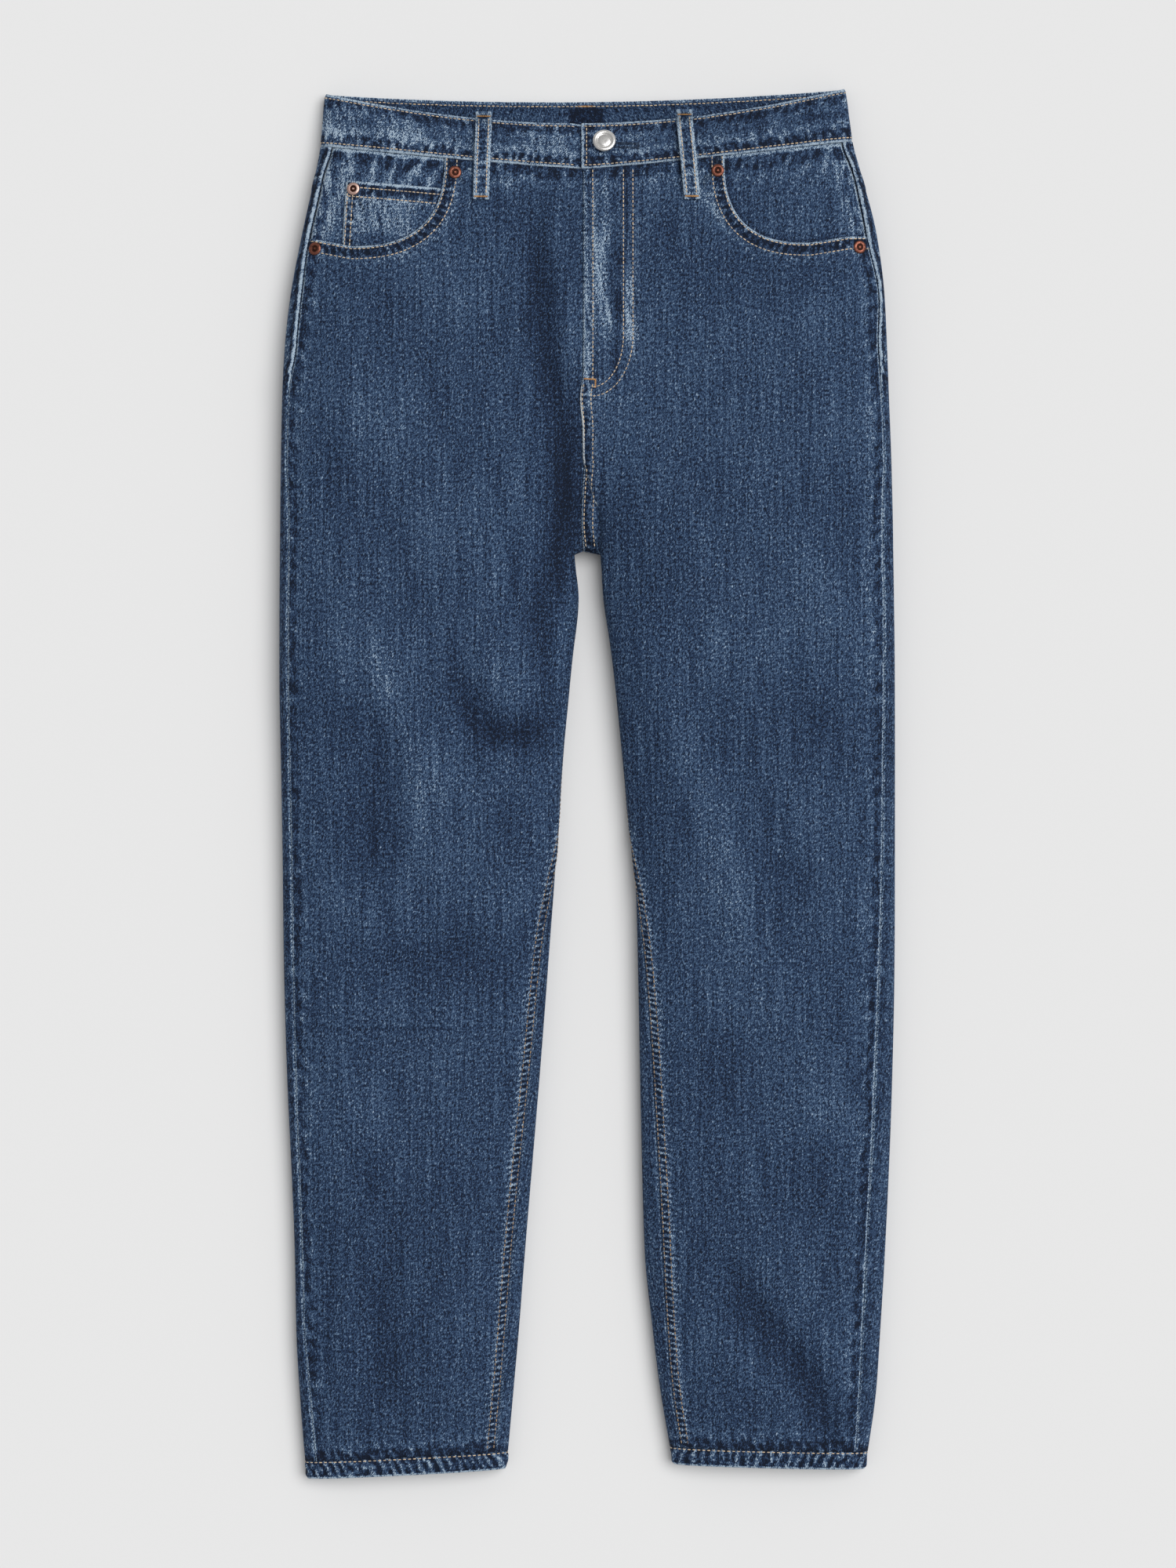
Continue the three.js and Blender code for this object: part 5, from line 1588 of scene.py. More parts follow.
    def front_layers(self) -> dict[str, Array]:
        """What the front's finish needs."""
        grid = self.front
        x, y = grid.points[..., 0], grid.points[..., 1]
        side = Seam(y / self.puckers + 3, grid.girth - grid.reach, 0.86 + 0.12 * smooth(280, 300, y))
        at_centre = 0.12 if self.half.side < 0 else 0.5 + 0.6 * (1 - smooth(278, 292, y))
        felled = 0.95 * smooth(90, 130, y) - 0.95
        inner = Seam(y / self.inner_puckers, grid.reach * 1.2, np.where(self.hips, at_centre, felled))
        inside, reach = self.scoop.measure(x, y)
        # Painted shade in the folds' troughs and painted highlight on their ridges: the colour is darkened by
        # the fold depth and lightened where that depth is negative.
        wear_and_shade = self.wear_and_shade(x, y) - 0.042 * self.depth[:, : self.front_columns]
        return {
            "cloth": self.weave(grid, self.front_weave, wear_and_shade),
            "seam": Seam.nearest(side, inner),
            "cross": Seam.nearest(
                Seam(x / 8.0, (y[:1] - y) / 1.5 + 1.7, 1.1),
                Seam(x / 6.5 + 9, (self.lengths[:, None] - PANEL_END) / 1.3 + 1.8, 1.2),
                Seam(reach / 4.6, np.abs(inside) / 1.1, 1.45),
            ),
        }

    def wear_and_shade(self, x: Array, y: Array) -> Array:
        """How much paler the wash has left the front at a place, with the painted shade of the darker patches
        along the folds' troughs.
        """
        out = np.abs(x)
        fly = 1.45 * fade_and_shade(x, y, FLY_FADES) if self.half.side > 0 else 0.0
        thigh = 0.02 * bell(out - 120, 62) * bell(y - 190, 170)
        return thigh + 0.05 * bell(out - 222, 5) + fade_and_shade(x, y, FADES_AND_SHADE) + fly

    def back_layers(self) -> dict[str, Array]:
        """What the back's and the yoke's finish needs."""
        grid = self.back
        x, y = grid.points[..., 0], grid.points[..., 1]
        side = Seam(y / self.puckers + 3, grid.reach, 0.45 + 1.55 * smooth(280, 300, y))
        inner = Seam(y / self.inner_puckers, (grid.girth - grid.reach) * 1.2, 0.3)
        return {
            "cloth": self.weave(grid, self.back_weave, 0.03 * bell(np.abs(x) - 105, 70) * bell(y - 290, 90)),
            "seam": Seam.nearest(side, inner),
            "cross": Seam.nearest(
                Seam(x / 8.0, y[:1] - y, 0.7),
                Seam(x / 8.0 + 9, self.lengths[:, None] - PANEL_END + 1.8, 1.1),
                Seam(x / 5.0 + 4, np.abs(above_yoke(x, y)), 1.0),
            ),
        }

    def hip(self, out: float) -> Skin:
        """The front's face above the hips, moved out or in."""
        top = self.lengths > self.hip_end
        ways = self.front.normals[top]
        points = self.front.points[top] + ways * out
        x, y = points[..., 0], points[..., 1]
        side = (self.front.girth - self.front.reach)[top]
        level, streaky = (0.1, 0.2) if self.half is RIGHT else (0.03, 0.06)
        streaks = streaky * np.sin(x * 0.42 - y * 0.2 + CREASES.unevenness(x * 2, y) * 3) * bell(y - 446, 26)
        # Painted shadow on the facing: it is darkened next to the pocket opening's edge, where the front's
        # edge stands over it.
        wear_and_shade = level - 0.16 * bell(self.scoop.inside(x, y), 4) + streaks + 0.16 * bell(side, 14)
        return Skin.of_grid(points, ways, {
            "cloth": self.weave(Grid(self.lengths[top], points, ways), self.front_weave, wear_and_shade),
            "seam": Seam(y / self.puckers, side, 0.8).layer(),
            "cross": Seam(x / 7.0, (y[:1] - y) / 1.6, 1.0).layer(),
        })

    def dress(self) -> None:
        """Makes the pieces."""
        name = self.half.name
        for part, skin, size, under in (
            ("back", self.back_skin, (0.31, 0.97, 0.197), "floor"),
            ("front", self.front_skin, (0.262, 0.965, 0.170), f"back_{name}_cloth"),
            ("yoke", self.yoke_skin, (0.205, 0.062, 0.0082), f"back_{name}_cloth"),
            ("facing", self.facing_skin, (0.118, 0.1, 0.0075), f"front_{name}_cloth"),
        ):
            laid(skin, f"{part}_{name}", TWO_FACED, size, under)

    def topstitch(self) -> None:
        """Sews the rows that run along the panels' own seams."""
        hidden = Stitching(f"side_stitches_{self.half.name}", Finish.NAVY)
        hidden.row(*self.back.down(self.side_row, False, *self.side_sewn))
        hidden.piece()
        sewn = Stitching(f"topstitch_{self.half.name}", Finish.TAN)
        inseam = Stitching(f"inseam_stitches_{self.half.name}", Finish.BROWN)
        for off in self.inseam_rows:
            inseam.row(*self.front.down(off, False, *self.inseam_sewn))
        inseam.piece()
        if self.half is LEFT:
            for off in self.centre_rows:
                sewn.row(*self.front.down(off, False, *self.front_sewn))
                sewn.row(*self.back.down(off, True, *self.seat_sewn))
        probe = Probe(self.back_skin, self.yoke_skin)
        xs = np.linspace(*self.yoke_sewn, self.yoke_places) * self.half.side
        for off in self.yoke_rows:
            sewn.row(*probe.on(zip(xs, YOKE_CENTRE_Y + YOKE_RISE * np.abs(xs) - off), below=True))
        sewn.piece()


@dataclass
class Waistband:
    """One half of the waistband, with its topstitching."""

    half: Half
    size: Size
    rows: int = 22
    columns: int = 330
    lap: float = 36.0
    lap_step: float = 9.0
    lap_points: int = 24
    fly_edge: float = -3.9
    middle: float = 8.0
    edge: float = 2.9
    waviness: float = 9.5
    lowest: float = 0.3
    end_row: float = 3.4
    under_lap: int = 32
    # Where across the painted shade on the back waistband's inner face lies.
    lining_shade: tuple[float, float] = (-12.0, 11.0)

    def line(self, v: float) -> Array:
        """The band's line at a length, from its end at the fly to the centre back."""
        side = self.half.side
        section = Section(self.half, v)
        points = section.points
        behind = np.arange(len(points)) > section.side
        kept = points[~behind | (points[:, 0] * side > HALF_GAP)]
        end = kept[-1] * (0, 1, 1) + (side * HALF_GAP, 0, 0)
        if self.half is LEFT:
            return np.concatenate([[kept[0] * (0, 1, 1) + (self.fly_edge, 0, 0)], kept[1:], [end]])
        over = Section(LEFT, v)
        front = over.points[: over.side + 1]
        xs = np.linspace(self.fly_edge + self.lap, self.fly_edge, self.lap_points)
        under = drawn(xs, front[:, 0], front)
        under[:, 0] = xs
        past = kept[(kept[:, 0] < self.fly_edge - SEAM_GAP) | (kept[:, 2] < self.middle)]
        return np.concatenate([under, past, [end]])

    def build(self) -> None:
        """Lays out the band's face."""
        lengths = np.linspace(BAND_TOP, BAND_BOTTOM + SEAM_GAP, self.rows)
        grid = np.stack([evenly(self.line(float(v)), self.columns) for v in lengths])
        ways = ways_out(grid, self.half.side)
        down, up = (BAND_TOP - lengths)[:, None], (lengths - BAND_BOTTOM)[:, None]
        nearest = np.minimum(down, up)
        x, y, reach = grid[..., 0], grid[..., 1], reach_of(grid)
        swell = CREASES.unevenness(x * 1.3 + 40, y * 1.3) * 0.5
        wave = np.sin((reach + down * 0.5) * CYCLE / self.waviness + CREASES.unevenness(x * 3, y) * 4)
        out = 0.25 * plateau(nearest, 4.4, 60, 2.0) - 0.55 * bell(nearest, 1.0) + swell
        out = out + 0.16 * wave * bell(nearest - 1.5, 4)
        if self.half is RIGHT:
            step_end = self.fly_edge - SEAM_GAP
            lowered = smooth(step_end - self.lap_step, step_end, x) * (grid[..., 2] > self.middle)
            out = out - lowered * (BAND_CLOTH + SEAM_GAP + np.maximum(swell, 0))
        grid = grid + ways * out[..., None]
        grid[..., 2] = np.maximum(grid[..., 2], self.lowest)
        self.grid = Grid(lengths, grid, ways_out(grid, self.half.side))
        self.layers(x, y, reach, down, up)

    def layers(self, x: Array, y: Array, reach: Array, down: Array, up: Array) -> None:
        """Keeps the face with what its finish needs.

        Args:
            x: Places across.
            y: Places along the surface.
            reach: Places along the band from its end at the fly.
            down: How far below the band's top they are.
            up: How far above its bottom they are.
        """
        wear_and_shade = 0.03 + 0.10 * bell(up - 9, 7) - 0.05 * bell(down - 14, 8) + fade_and_shade(x, y, BAND_FADES)
        wear_and_shade = wear_and_shade + 0.13 * CREASES.unevenness(x * 4 + 60, y * 3)
        cloth = cloth_layer((reach + 3.0) * self.half.side, self.grid.lengths[:, None], wear_and_shade)
        # Painted shade on the inner face of the back waistband near the centre, where it shows between the
        # front and back of the waist: the colour there is darkened.
        patch = plateau(x, *self.lining_shade, 2.0) * plateau(down, 4.5, 40, 1.0)
        lining = cloth.copy()
        lining[..., 2] = -0.02 - 0.34 * patch * (self.grid.points[..., 2] < self.middle)
        cross = Seam.nearest(Seam(reach / 7.0, down / 1.3, 1.15), Seam(reach / 6.4 + 5, up / 1.3, 1.6))
        end = Seam(self.grid.lengths[:, None] / 8.0, reach / 1.2, 1.1 if self.half is LEFT else 0.0)
        layers = {"cloth": cloth, "seam": end.layer(), "cross": cross}
        self.skin = Skin.of_grid(self.grid.points, self.grid.normals, layers)
        self.lining = {"cloth": lining, "cross": cross * (1.0, 1.0, 0.35)}

    def dress(self) -> None:
        """Makes the piece and its topstitching."""
        name, left = self.half.name, self.half is LEFT
        shell = {"thick": BAND_CLOTH, "rounding": 0.4, "inside": self.lining}
        laid(self.skin, f"waistband_{name}", ONE_CLOTH, self.size, f"back_{name}_cloth", **shell)
        sewn = Stitching(f"band_stitches_{name}", Finish.TAN)
        for v in (BAND_TOP - self.edge, BAND_BOTTOM + self.edge):
            for depth, turn in ((0.0, 1), (BAND_CLOTH, -1)):
                points, ways = self.grid.across(v, 1 if left else self.under_lap, None, depth)
                sewn.row(points, ways * turn)
        if left:
            sewn.row(*self.grid.down(self.end_row, False, BAND_TOP - self.edge, BAND_BOTTOM + self.edge))
        sewn.piece()


@dataclass
class Hem:
    """A leg's turned-up hem with its row of stitches."""

    half: Half
    rows: int = 16
    columns: int = 400
    rope: float = 7.0
    rise: float = 0.42
    flat_under: float = 1.2
    stitched_down: float = 0.9
    pitch: float = 3.6
    size: Size = (0.0135, 0.335, 0.004)

    def build(self) -> None:
        """Lays out the hem's face, roped where the turned cloth has twisted."""
        lengths = np.linspace(PANEL_END - SEAM_GAP, HEM_END, self.rows)
        grid = np.stack([evenly(Section(self.half, float(v)).points, self.columns + 1)[:-1] for v in lengths])
        reach = np.cumsum(np.linalg.norm(grid - np.roll(grid, 1, axis=1), axis=2), axis=1)
        down, up = (lengths[0] - lengths)[:, None], (lengths - HEM_END)[:, None]
        lean = reach + down * 0.55
        uneven = CREASES.unevenness(grid[..., 0] * 1.6, lengths[:, None] * 1.6)
        twist = np.sin(lean * CYCLE / self.rope + uneven * 4)
        under = grid[..., 2] < self.flat_under
        out = self.rise * twist * plateau(up, 1.5, 9.5, 2.5) * (1 - 0.6 * under)
        out = out + 0.35 * plateau(up, 3, 9, 3) - 0.9 * bell(up, 1.4) - 0.35 * bell(down, 1.0)
        grid = grid + ways_out(grid, self.half.side, True) * out[..., None]
        grid[..., 2] = np.maximum(grid[..., 2], 0.0)
        self.grid = Grid(lengths, grid, ways_out(grid, self.half.side, True))
        self.skin = Skin.of_grid(grid, self.grid.normals, edged(
            reach * self.half.side, lengths[:, None], 0.08 + 0.25 * twist,
            Seam.nearest(Seam(lean / self.rope, down + 1.8, 1.0), Seam(lean / self.rope, up, 1.2)),
        ), True)

    def dress(self) -> None:
        """Makes the piece and its stitches."""
        name = self.half.name
        laid(self.skin, f"hem_{name}", TWO_FACED, self.size, "floor", thick=HEM_CLOTH, rounding=0.3)
        sewn = Stitching(f"hem_stitches_{name}", Finish.TAN, pitch=self.pitch)
        row = self.grid.across(self.grid.lengths[0] - self.stitched_down)
        sewn.row(*(np.concatenate([a, a[:1]]) for a in row))
        sewn.piece()


def edged(across: Array, along: Array, wear_and_shade: Array | float, cross: Array) -> dict[str, Array]:
    """The layers of a piece that has only one set of edges, which its cross layer holds."""
    far = Seam(across, 50.0, 0.0)
    return {"cloth": cloth_layer(across, along, wear_and_shade), "seam": far.layer(), "cross": cross}


@dataclass
class Loop:
    """A belt loop: a doubled strip, sewn down at its ends and proud between them."""

    name: str
    top: tuple[float, float]
    foot: tuple[float, float]
    width: float = 12.0
    length: float = 62.0
    thick: float = 2.2
    seat: float = 0.3
    proud: float = 2.2
    rows: int = 60
    columns: int = 13
    soft_step: int = 6
    wear_and_shade: float = 0.15
    pitch: float = 2.8
    row_inset: float = 2.7
    row_ends: tuple[float, float] = (-3.0, -58.0)
    tack_places: tuple[float, float] = (1.8, 60.0)
    lies_on: str = "waistband_left_cloth"
    size: Size = (0.0125, 0.066, 0.00079)

    def build(self, probe: Probe) -> None:
        """Lays the strip over the cloth that the probe finds beneath it."""
        t, u = np.linspace(0, 1, self.rows), np.linspace(-0.5, 0.5, self.columns)
        middles = np.array(self.top) + (np.array(self.foot) - self.top) * t[:, None]
        grid = np.stack([probe.on([(x + a * self.width, y) for a in u])[0] for x, y in middles])
        stops = np.arange(0, self.rows, self.soft_step)
        half = self.soft_step // 2
        high = np.maximum.reduce([grid[np.minimum(stops + d, self.rows - 1), :, 2] for d in (-half, 0, half)])
        arch = self.seat + self.thick + (self.proud - self.seat) * np.sin(math.pi * t) ** 0.7
        edge = (0.5 - np.abs(u)) * self.width
        bars = 0.5 * (bell(t * self.length - 2.5, 2) + bell((1 - t) * self.length - 2.5, 2))
        grid[..., 2] = drawn(t, t[stops], high) + (arch - bars)[:, None]
        grid[..., 2] += 0.35 * bell(edge - 1.0, 1.1) - 0.5 * bell(edge, 0.5)
        self.keep(grid, t, u)

    def keep(self, grid: Array, t: Array, u: Array) -> None:
        """Keeps the strip's face, with shares of its length and its width at its rows and columns."""
        ways = ways_out(grid)
        along, across = np.broadcast_arrays((t * self.length)[:, None], (u * self.width)[None])
        rim = Seam(along / 4.5 + across * 0.02, (self.width / 2 - np.abs(across)) * 0.5, 0.95)
        self.grid = Grid(-t * self.length, grid, ways)
        self.skin = Skin.of_grid(grid, ways, edged(across + self.top[0], along, self.wear_and_shade, rim.layer()))

    def dress(self, tacks: Stitching) -> None:
        """Makes the piece with its rows of stitches, and the bars at its ends in another piece."""
        laid(self.skin, self.name, ONE_CLOTH, self.size, self.lies_on, thick=self.thick * 0.8, rounding=0.2)
        sewn = Stitching(f"{self.name}_stitches", Finish.TAN, pitch=self.pitch)
        for from_end in (False, True):
            sewn.row(*self.grid.down(self.row_inset, from_end, *self.row_ends))
        sewn.piece()
        for place in self.tack_places:
            points, ways = self.grid.across(-place, 1, -1)
            tacks.tack(points[0], points[-1], ways[len(ways) // 2])


@dataclass
class BackLoop(Loop):
    """A belt loop on the hidden side, pressed flat under the garment."""

    lies_on: str = "floor"

    def build(self, probe: Probe) -> None:
        """Lays the strip flat."""
        t, u = np.linspace(0, 1, self.rows), np.linspace(-0.5, 0.5, self.columns)
        x = self.top[0] - u[None] * self.width
        y = self.top[1] + (self.foot[1] - self.top[1]) * t[:, None]
        z = 0.02 + 0.35 * bell((0.5 - np.abs(u)) * self.width, 0.7)[None]
        self.keep(np.stack(np.broadcast_arrays(x, y, z), axis=-1), t, u)


@dataclass
class BackPocket:
    """A patch pocket on the hidden side, pressed flat under the garment."""

    half: Half
    mouth_y: float = 385.0
    corner_y: float = 262.0
    point_y: float = 240.0
    mouth: float = 68.0
    foot: float = 59.0
    middle: float = 100.0
    reach: float = 70.0
    columns: int = 92
    rows: int = 96
    outline_rows: tuple[float, float] = (1.8, 8.0)
    mouth_rows: tuple[float, float] = (10.0, 12.8)
    mouth_inset: float = 2.0
    tack_inset: float = 2.5
    tack_length: float = 9.0
    tack_lift: float = 0.3
    size: Size = (0.138, 0.147, 0.0172)

    def corners(self, inset: float = 0.0) -> list[tuple[float, float]]:
        """The outline's corners, drawn in by an inset."""
        m = self.half.side * self.middle
        mouth, foot = self.mouth - inset, self.foot - inset
        top, corner, point = self.mouth_y - inset, self.corner_y + inset * 0.6, self.point_y + inset
        return [(m - mouth, top), (m - foot, corner), (m, point), (m + foot, corner), (m + mouth, top)]

    def outside(self, x: Array, y: Array) -> Array:
        """How far outside the outline places are."""
        ring = self.corners()
        return np.maximum.reduce([
            ((x - ax) * (by - ay) - (y - ay) * (bx - ax)) / math.hypot(bx - ax, by - ay)
            for (ax, ay), (bx, by) in zip(ring, ring[1:] + ring[:1])
        ])

    def build(self) -> None:
        """Lays the patch flat."""
        m = self.half.side * self.middle
        ys = np.linspace(self.mouth_y + 2, self.point_y - 2, self.rows)
        x, y = np.meshgrid(np.linspace(m + self.reach, m - self.reach, self.columns), ys)
        off = self.outside(x, y)
        grid = np.stack([x, y, 0.02 + 0.25 * bell(off, 1.0)], axis=-1)
        layers = edged(x, y, 0.03, Seam((x + y) / 7.0, np.abs(off), 0.95).layer())
        self.skin = Skin.of_grid(grid, ways_out(grid), layers).clipped(self.outside)

    def dress(self, tacks: Stitching) -> None:
        """Makes the piece with its stitches, and the bars at its mouth in another piece."""
        name = self.half.name
        laid(self.skin, f"back_pocket_{name}", TWO_FACED, self.size, "floor")
        sewn = Stitching(f"back_pocket_stitches_{name}", Finish.TAN)
        probe = Probe(self.skin)
        for inset in self.outline_rows:
            sewn.row(*probe.along(*self.corners(inset), below=True))
        for drop in self.mouth_rows:
            ends = self.corners(self.mouth_inset)[::4]
            sewn.row(*probe.along(*((x, y - drop) for x, y in ends), below=True))
        sewn.piece()
        for x, y in self.corners(self.tack_inset)[::4]:
            top = np.array([x, y, self.tack_lift])
            tacks.tack(top, top - (0, self.tack_length, 0), -UP)


@dataclass
class CoinPocket:
    """The small pocket on the wearer's right facing."""

    legs: Legs
    top: float = 438.0
    slope: float = -0.09
    left: float = -175.0
    lean: float = 3.2 / 58
    right: float = -104.0
    foot: float = 388.0
    out: float = -0.2
    thick: float = 1.0
    pitch: float = 2.9
    hem_rows: tuple[float, float] = (4.6, 11.4)
    side_rows: tuple[float, float] = (1.6, 5.4)
    size: Size = (0.085, 0.056, 0.0027)

    def below_top(self, x: Array, y: Array | float) -> Array:
        """How far below its hem places are."""
        return self.top + self.slope * (x - self.left) - y

    def past_left(self, x: Array | float, y: Array) -> Array:
        """How far to the right of its left edge places are."""
        return x - (self.left + (y - self.top) * self.lean)

    def outside(self, x: Array, y: Array) -> Array:
        """How far outside its outline places are."""
        hidden = SEAM_GAP - SCOOPS["right"].inside(x, y)
        return np.maximum.reduce([-self.below_top(x, y), -self.past_left(x, y), hidden])

    def build(self) -> None:
        """Cuts it from a face over the facing."""
        skin = self.legs.hip(self.out)
        x, y = skin.points[:, 0], skin.points[:, 1]
        below, past = self.below_top(x, y), self.past_left(x, y)
        hem, edge = Seam(x / 5.5, np.abs(below) / 1.4, 1.6), Seam(y / 5.5, np.abs(past), 1.4)
        skin.layers["cross"] = Seam.nearest(hem, edge)
        skin.layers["cloth"][:, 2] = 0.18 * plateau(below, 14, 34, 6) * plateau(x, -172, -132, 14) + 0.03
        skin.layers["seam"][:, 2] = 0.0
        self.skin = skin.clipped(self.outside)

    def dress(self) -> None:
        """Makes the piece with its stitches."""
        laid(self.skin, "coin_pocket", TWO_FACED, self.size, "facing_right_cloth", thick=self.thick)
        sewn = Stitching("coin_pocket_stitches", Finish.TAN, pitch=self.pitch)
        probe = Probe(self.skin)
        xs, ys = np.linspace(self.left + 1, self.right, 80), np.linspace(self.top - 3, self.foot, 60)
        for drop in self.hem_rows:
            sewn.row(*probe.on(zip(xs, self.below_top(xs, drop))))
        for inset in self.side_rows:
            sewn.row(*probe.on(zip(-self.past_left(-inset, ys), ys)))
        sewn.piece()


@dataclass
class Fly:
    """The fly's underlap and its zip behind the left front."""

    legs: Legs
    top: float = 441.0
    foot: float = 292.0
    rows: int = 80
    rounds: int = 6
    shield: tuple[float, float] = (-10.0, 36.0)
    shield_behind: float = 3.2
    shield_size: Size = (0.048, 0.151, 0.007)
    tapes: tuple = ((2.0, 12.6), (15.4, 26.0))
    tapes_behind: float = 1.9
    tapes_size: Size = (0.0215, 0.15, 0.0032)
    tape_thick: float = 0.8
    teeth: tuple[float, float] = (12.0, 16.0)
    teeth_behind: float = 2.3
    tooth_pitch: float = 2.0
    tooth_aside: float = 0.9
    first_tooth: float = 1.5
    tooth: Size = (3.4, 1.3, 1.0)
    slider_down: float = 9.0
    slider: Size = (7.0, 9.0, 1.4)
    pull_down: float = 24.0
    pull_lift: float = 0.1
    pull: Size = (5.0, 21.0, 0.9)

    def strip(self, left: float, right: float, out: float, columns: int) -> tuple[Array, Array]:
        """A strip behind the front.

        Args:
            left: Its left edge across.
            right: Its right edge across.
            out: How far behind the front's face it lies.
            columns: How many points across.

        Returns:
            Its grid and the way out at each point.
        """
        probe = Probe(self.legs.front_skin)
        xs = np.linspace(left, right, columns)
        rows = []
        for y in np.linspace(self.top, self.foot, self.rows):
            clear = np.maximum(xs, float(CENTRE["x"].at(y)) + 1.0)
            rows.append(probe.on((x, y) for x in clear)[0])
        grid = np.stack(rows)
        grid[..., 0] = xs
        for _ in range(self.rounds):
            grid[1:-1, :, 2] = (grid[:-2, :, 2] + grid[1:-1, :, 2] * 2 + grid[2:, :, 2]) / 4
        ways = ways_out(grid)
        return grid - ways * out, ways

    def dress(self) -> None:
        """Makes the underlap, the tape with its teeth and the slider."""
        left, right = self.shield
        grid, ways = self.strip(left, right, self.shield_behind, 30)
        x, y = grid[..., 0], grid[..., 1]
        edge = Seam(y / 8.0, np.minimum(x - left, right - x), 0.8)
        skin = Skin.of_grid(grid, ways, edged(x, y, 0.0, edge.layer()))
        laid(skin, "fly_shield", TWO_FACED, self.shield_size, "back_left_cloth")
        tapes = []
        for ends in self.tapes:
            grid, ways = self.strip(*ends, self.tapes_behind, 8)
            tapes.append(Skin.of_grid(grid, ways, {"shade": grid[..., :1] * 0}).shell(self.tape_thick))
        tape = Mesh.joined(tapes).piece("zip_tape", "zip_tape", (Finish.TAPE, Finish.TAPE), "fly_zip")
        strip = self.strip(*self.teeth, self.teeth_behind, 3)
        middle = Grid(np.linspace(self.top, self.foot, self.rows), *strip)
        teeth, slider = Blocks("zip_teeth"), Blocks("zip_slider")
        for k in range(int((self.top - self.foot) / self.tooth_pitch)):
            place = self.top - self.first_tooth - self.tooth_pitch * k
            teeth.add(middle, place, self.tooth, aside=self.tooth_aside if k % 2 else -self.tooth_aside)
        teeth.piece()
        slider.add(middle, self.top - self.slider_down, self.slider)
        slider.add(middle, self.top - self.pull_down, self.pull, lift=self.pull_lift)
        slider.piece()


class Blocks:
    """Small cast blocks with rounded edges, such as a zip's teeth."""

    CORNER = 0.35

    def __init__(self, name: str) -> None:
        """Starts with none."""
        self.name = name
        self.parts: list[Mesh] = []

    def add(self, line: Grid, length: float, size: Size, aside: float = 0.0, lift: float = 0.0) -> None:
        """Adds a block on the middle of a strip.

        Args:
            line: The strip, three columns wide.
            length: How far along it the block is.
            size: Its size across, along and up.
            aside: How far it is moved across.
            lift: How far it is moved out.
        """
        points, ways = line.across(length)
        up = ways[1]
        middle = points[1] + (aside, 0, 0) + up * lift
        along = unit(np.cross(up, (1.0, 0, 0)))
        across = np.cross(along, up)
        w, l, h = (s / 2 for s in size)
        c = min(w, l, h) * self.CORNER
        rings = []
        for z, inset in ((-h, c), (-h + c, 0), (h - c, 0), (h, c)):
            a, b = w - inset, l - inset
            quarter = ((a, b - c), (a - c, b), (-a + c, b), (-a, b - c))
            corners = (*quarter, *((-p, -q) for p, q in quarter))
            rings.append([middle + across * p + along * q + up * z for p, q in corners])
        loops = [*range(7, -1, -1), *range(24, 32)]
        for ring in (0, 8, 16):
            for k in range(8):
                a, b = ring + k, ring + (k + 1) % 8
                loops += [a, b, b + 8, a + 8]
        counts = np.array([8, 8, *[4] * 24])
        self.parts.append(Mesh(np.array(rings).reshape(-1, 3), np.array(loops), counts, counts * 0))

    def piece(self) -> None:
        """Makes the object."""
        Mesh.joined(self.parts).piece(self.name, "nickel", (Finish.NICKEL,))


@dataclass
class Stud:
    """A turned metal piece that stands square on the cloth."""

    node: str
    place: tuple[float, float]
    lift: float
    finish: Finish
    slot: str
    profile: tuple[tuple[float, float], ...]
    bowl: tuple[float, float] = (0.0, 0.0)
    segments: int = 56
    foot: float = 4.0

    def dress(self, probe: Probe) -> None:
        """Seats the piece on the cloth that the probe finds beneath it."""
        x, y = self.place
        ring = [(x + self.foot * math.cos(a), y + self.foot * math.sin(a)) for a in np.linspace(0, 5.6, 9)]
        spots, ways = probe.on([self.place, *ring])
        up = unit(ways.mean(axis=0))
        base = spots[0] + up * (((spots - spots[0]) @ up).max() * 0.6 + self.lift)
        aside = unit(np.cross((0, 1.0, 0), up))
        along = np.cross(up, aside)
        rings = [
            base + up * z + r * (aside * math.cos(a) + along * math.sin(a))
            for r, z in self.profile[1:-1] for a in circle(self.segments)
        ]
        points = np.array([base + up * self.profile[0][1], *rings, base + up * self.profile[-1][1]])
        loops, counts = capped(len(self.profile) - 2, self.segments)
        pairs = list(zip(self.profile[1:-2], self.profile[2:-1]))
        # Rings inside the bowl's span take the dark copper, which is painted shade in the rivet's hollow.
        hollow_rings = [self.bowl[0] < b[0] < a[0] < self.bowl[1] and k > 1 for k, (a, b) in enumerate(pairs)]
        finish = np.tile([0, *map(int, hollow_rings), 0], self.segments)
        finishes = (self.finish, Finish.HOLLOW_SHADE) if any(hollow_rings) else (self.finish,)
        mesh = Mesh(points, np.array(loops), np.array(counts), finish)
        mesh.piece(f"{self.node}_turned", self.slot, finishes, self.node)


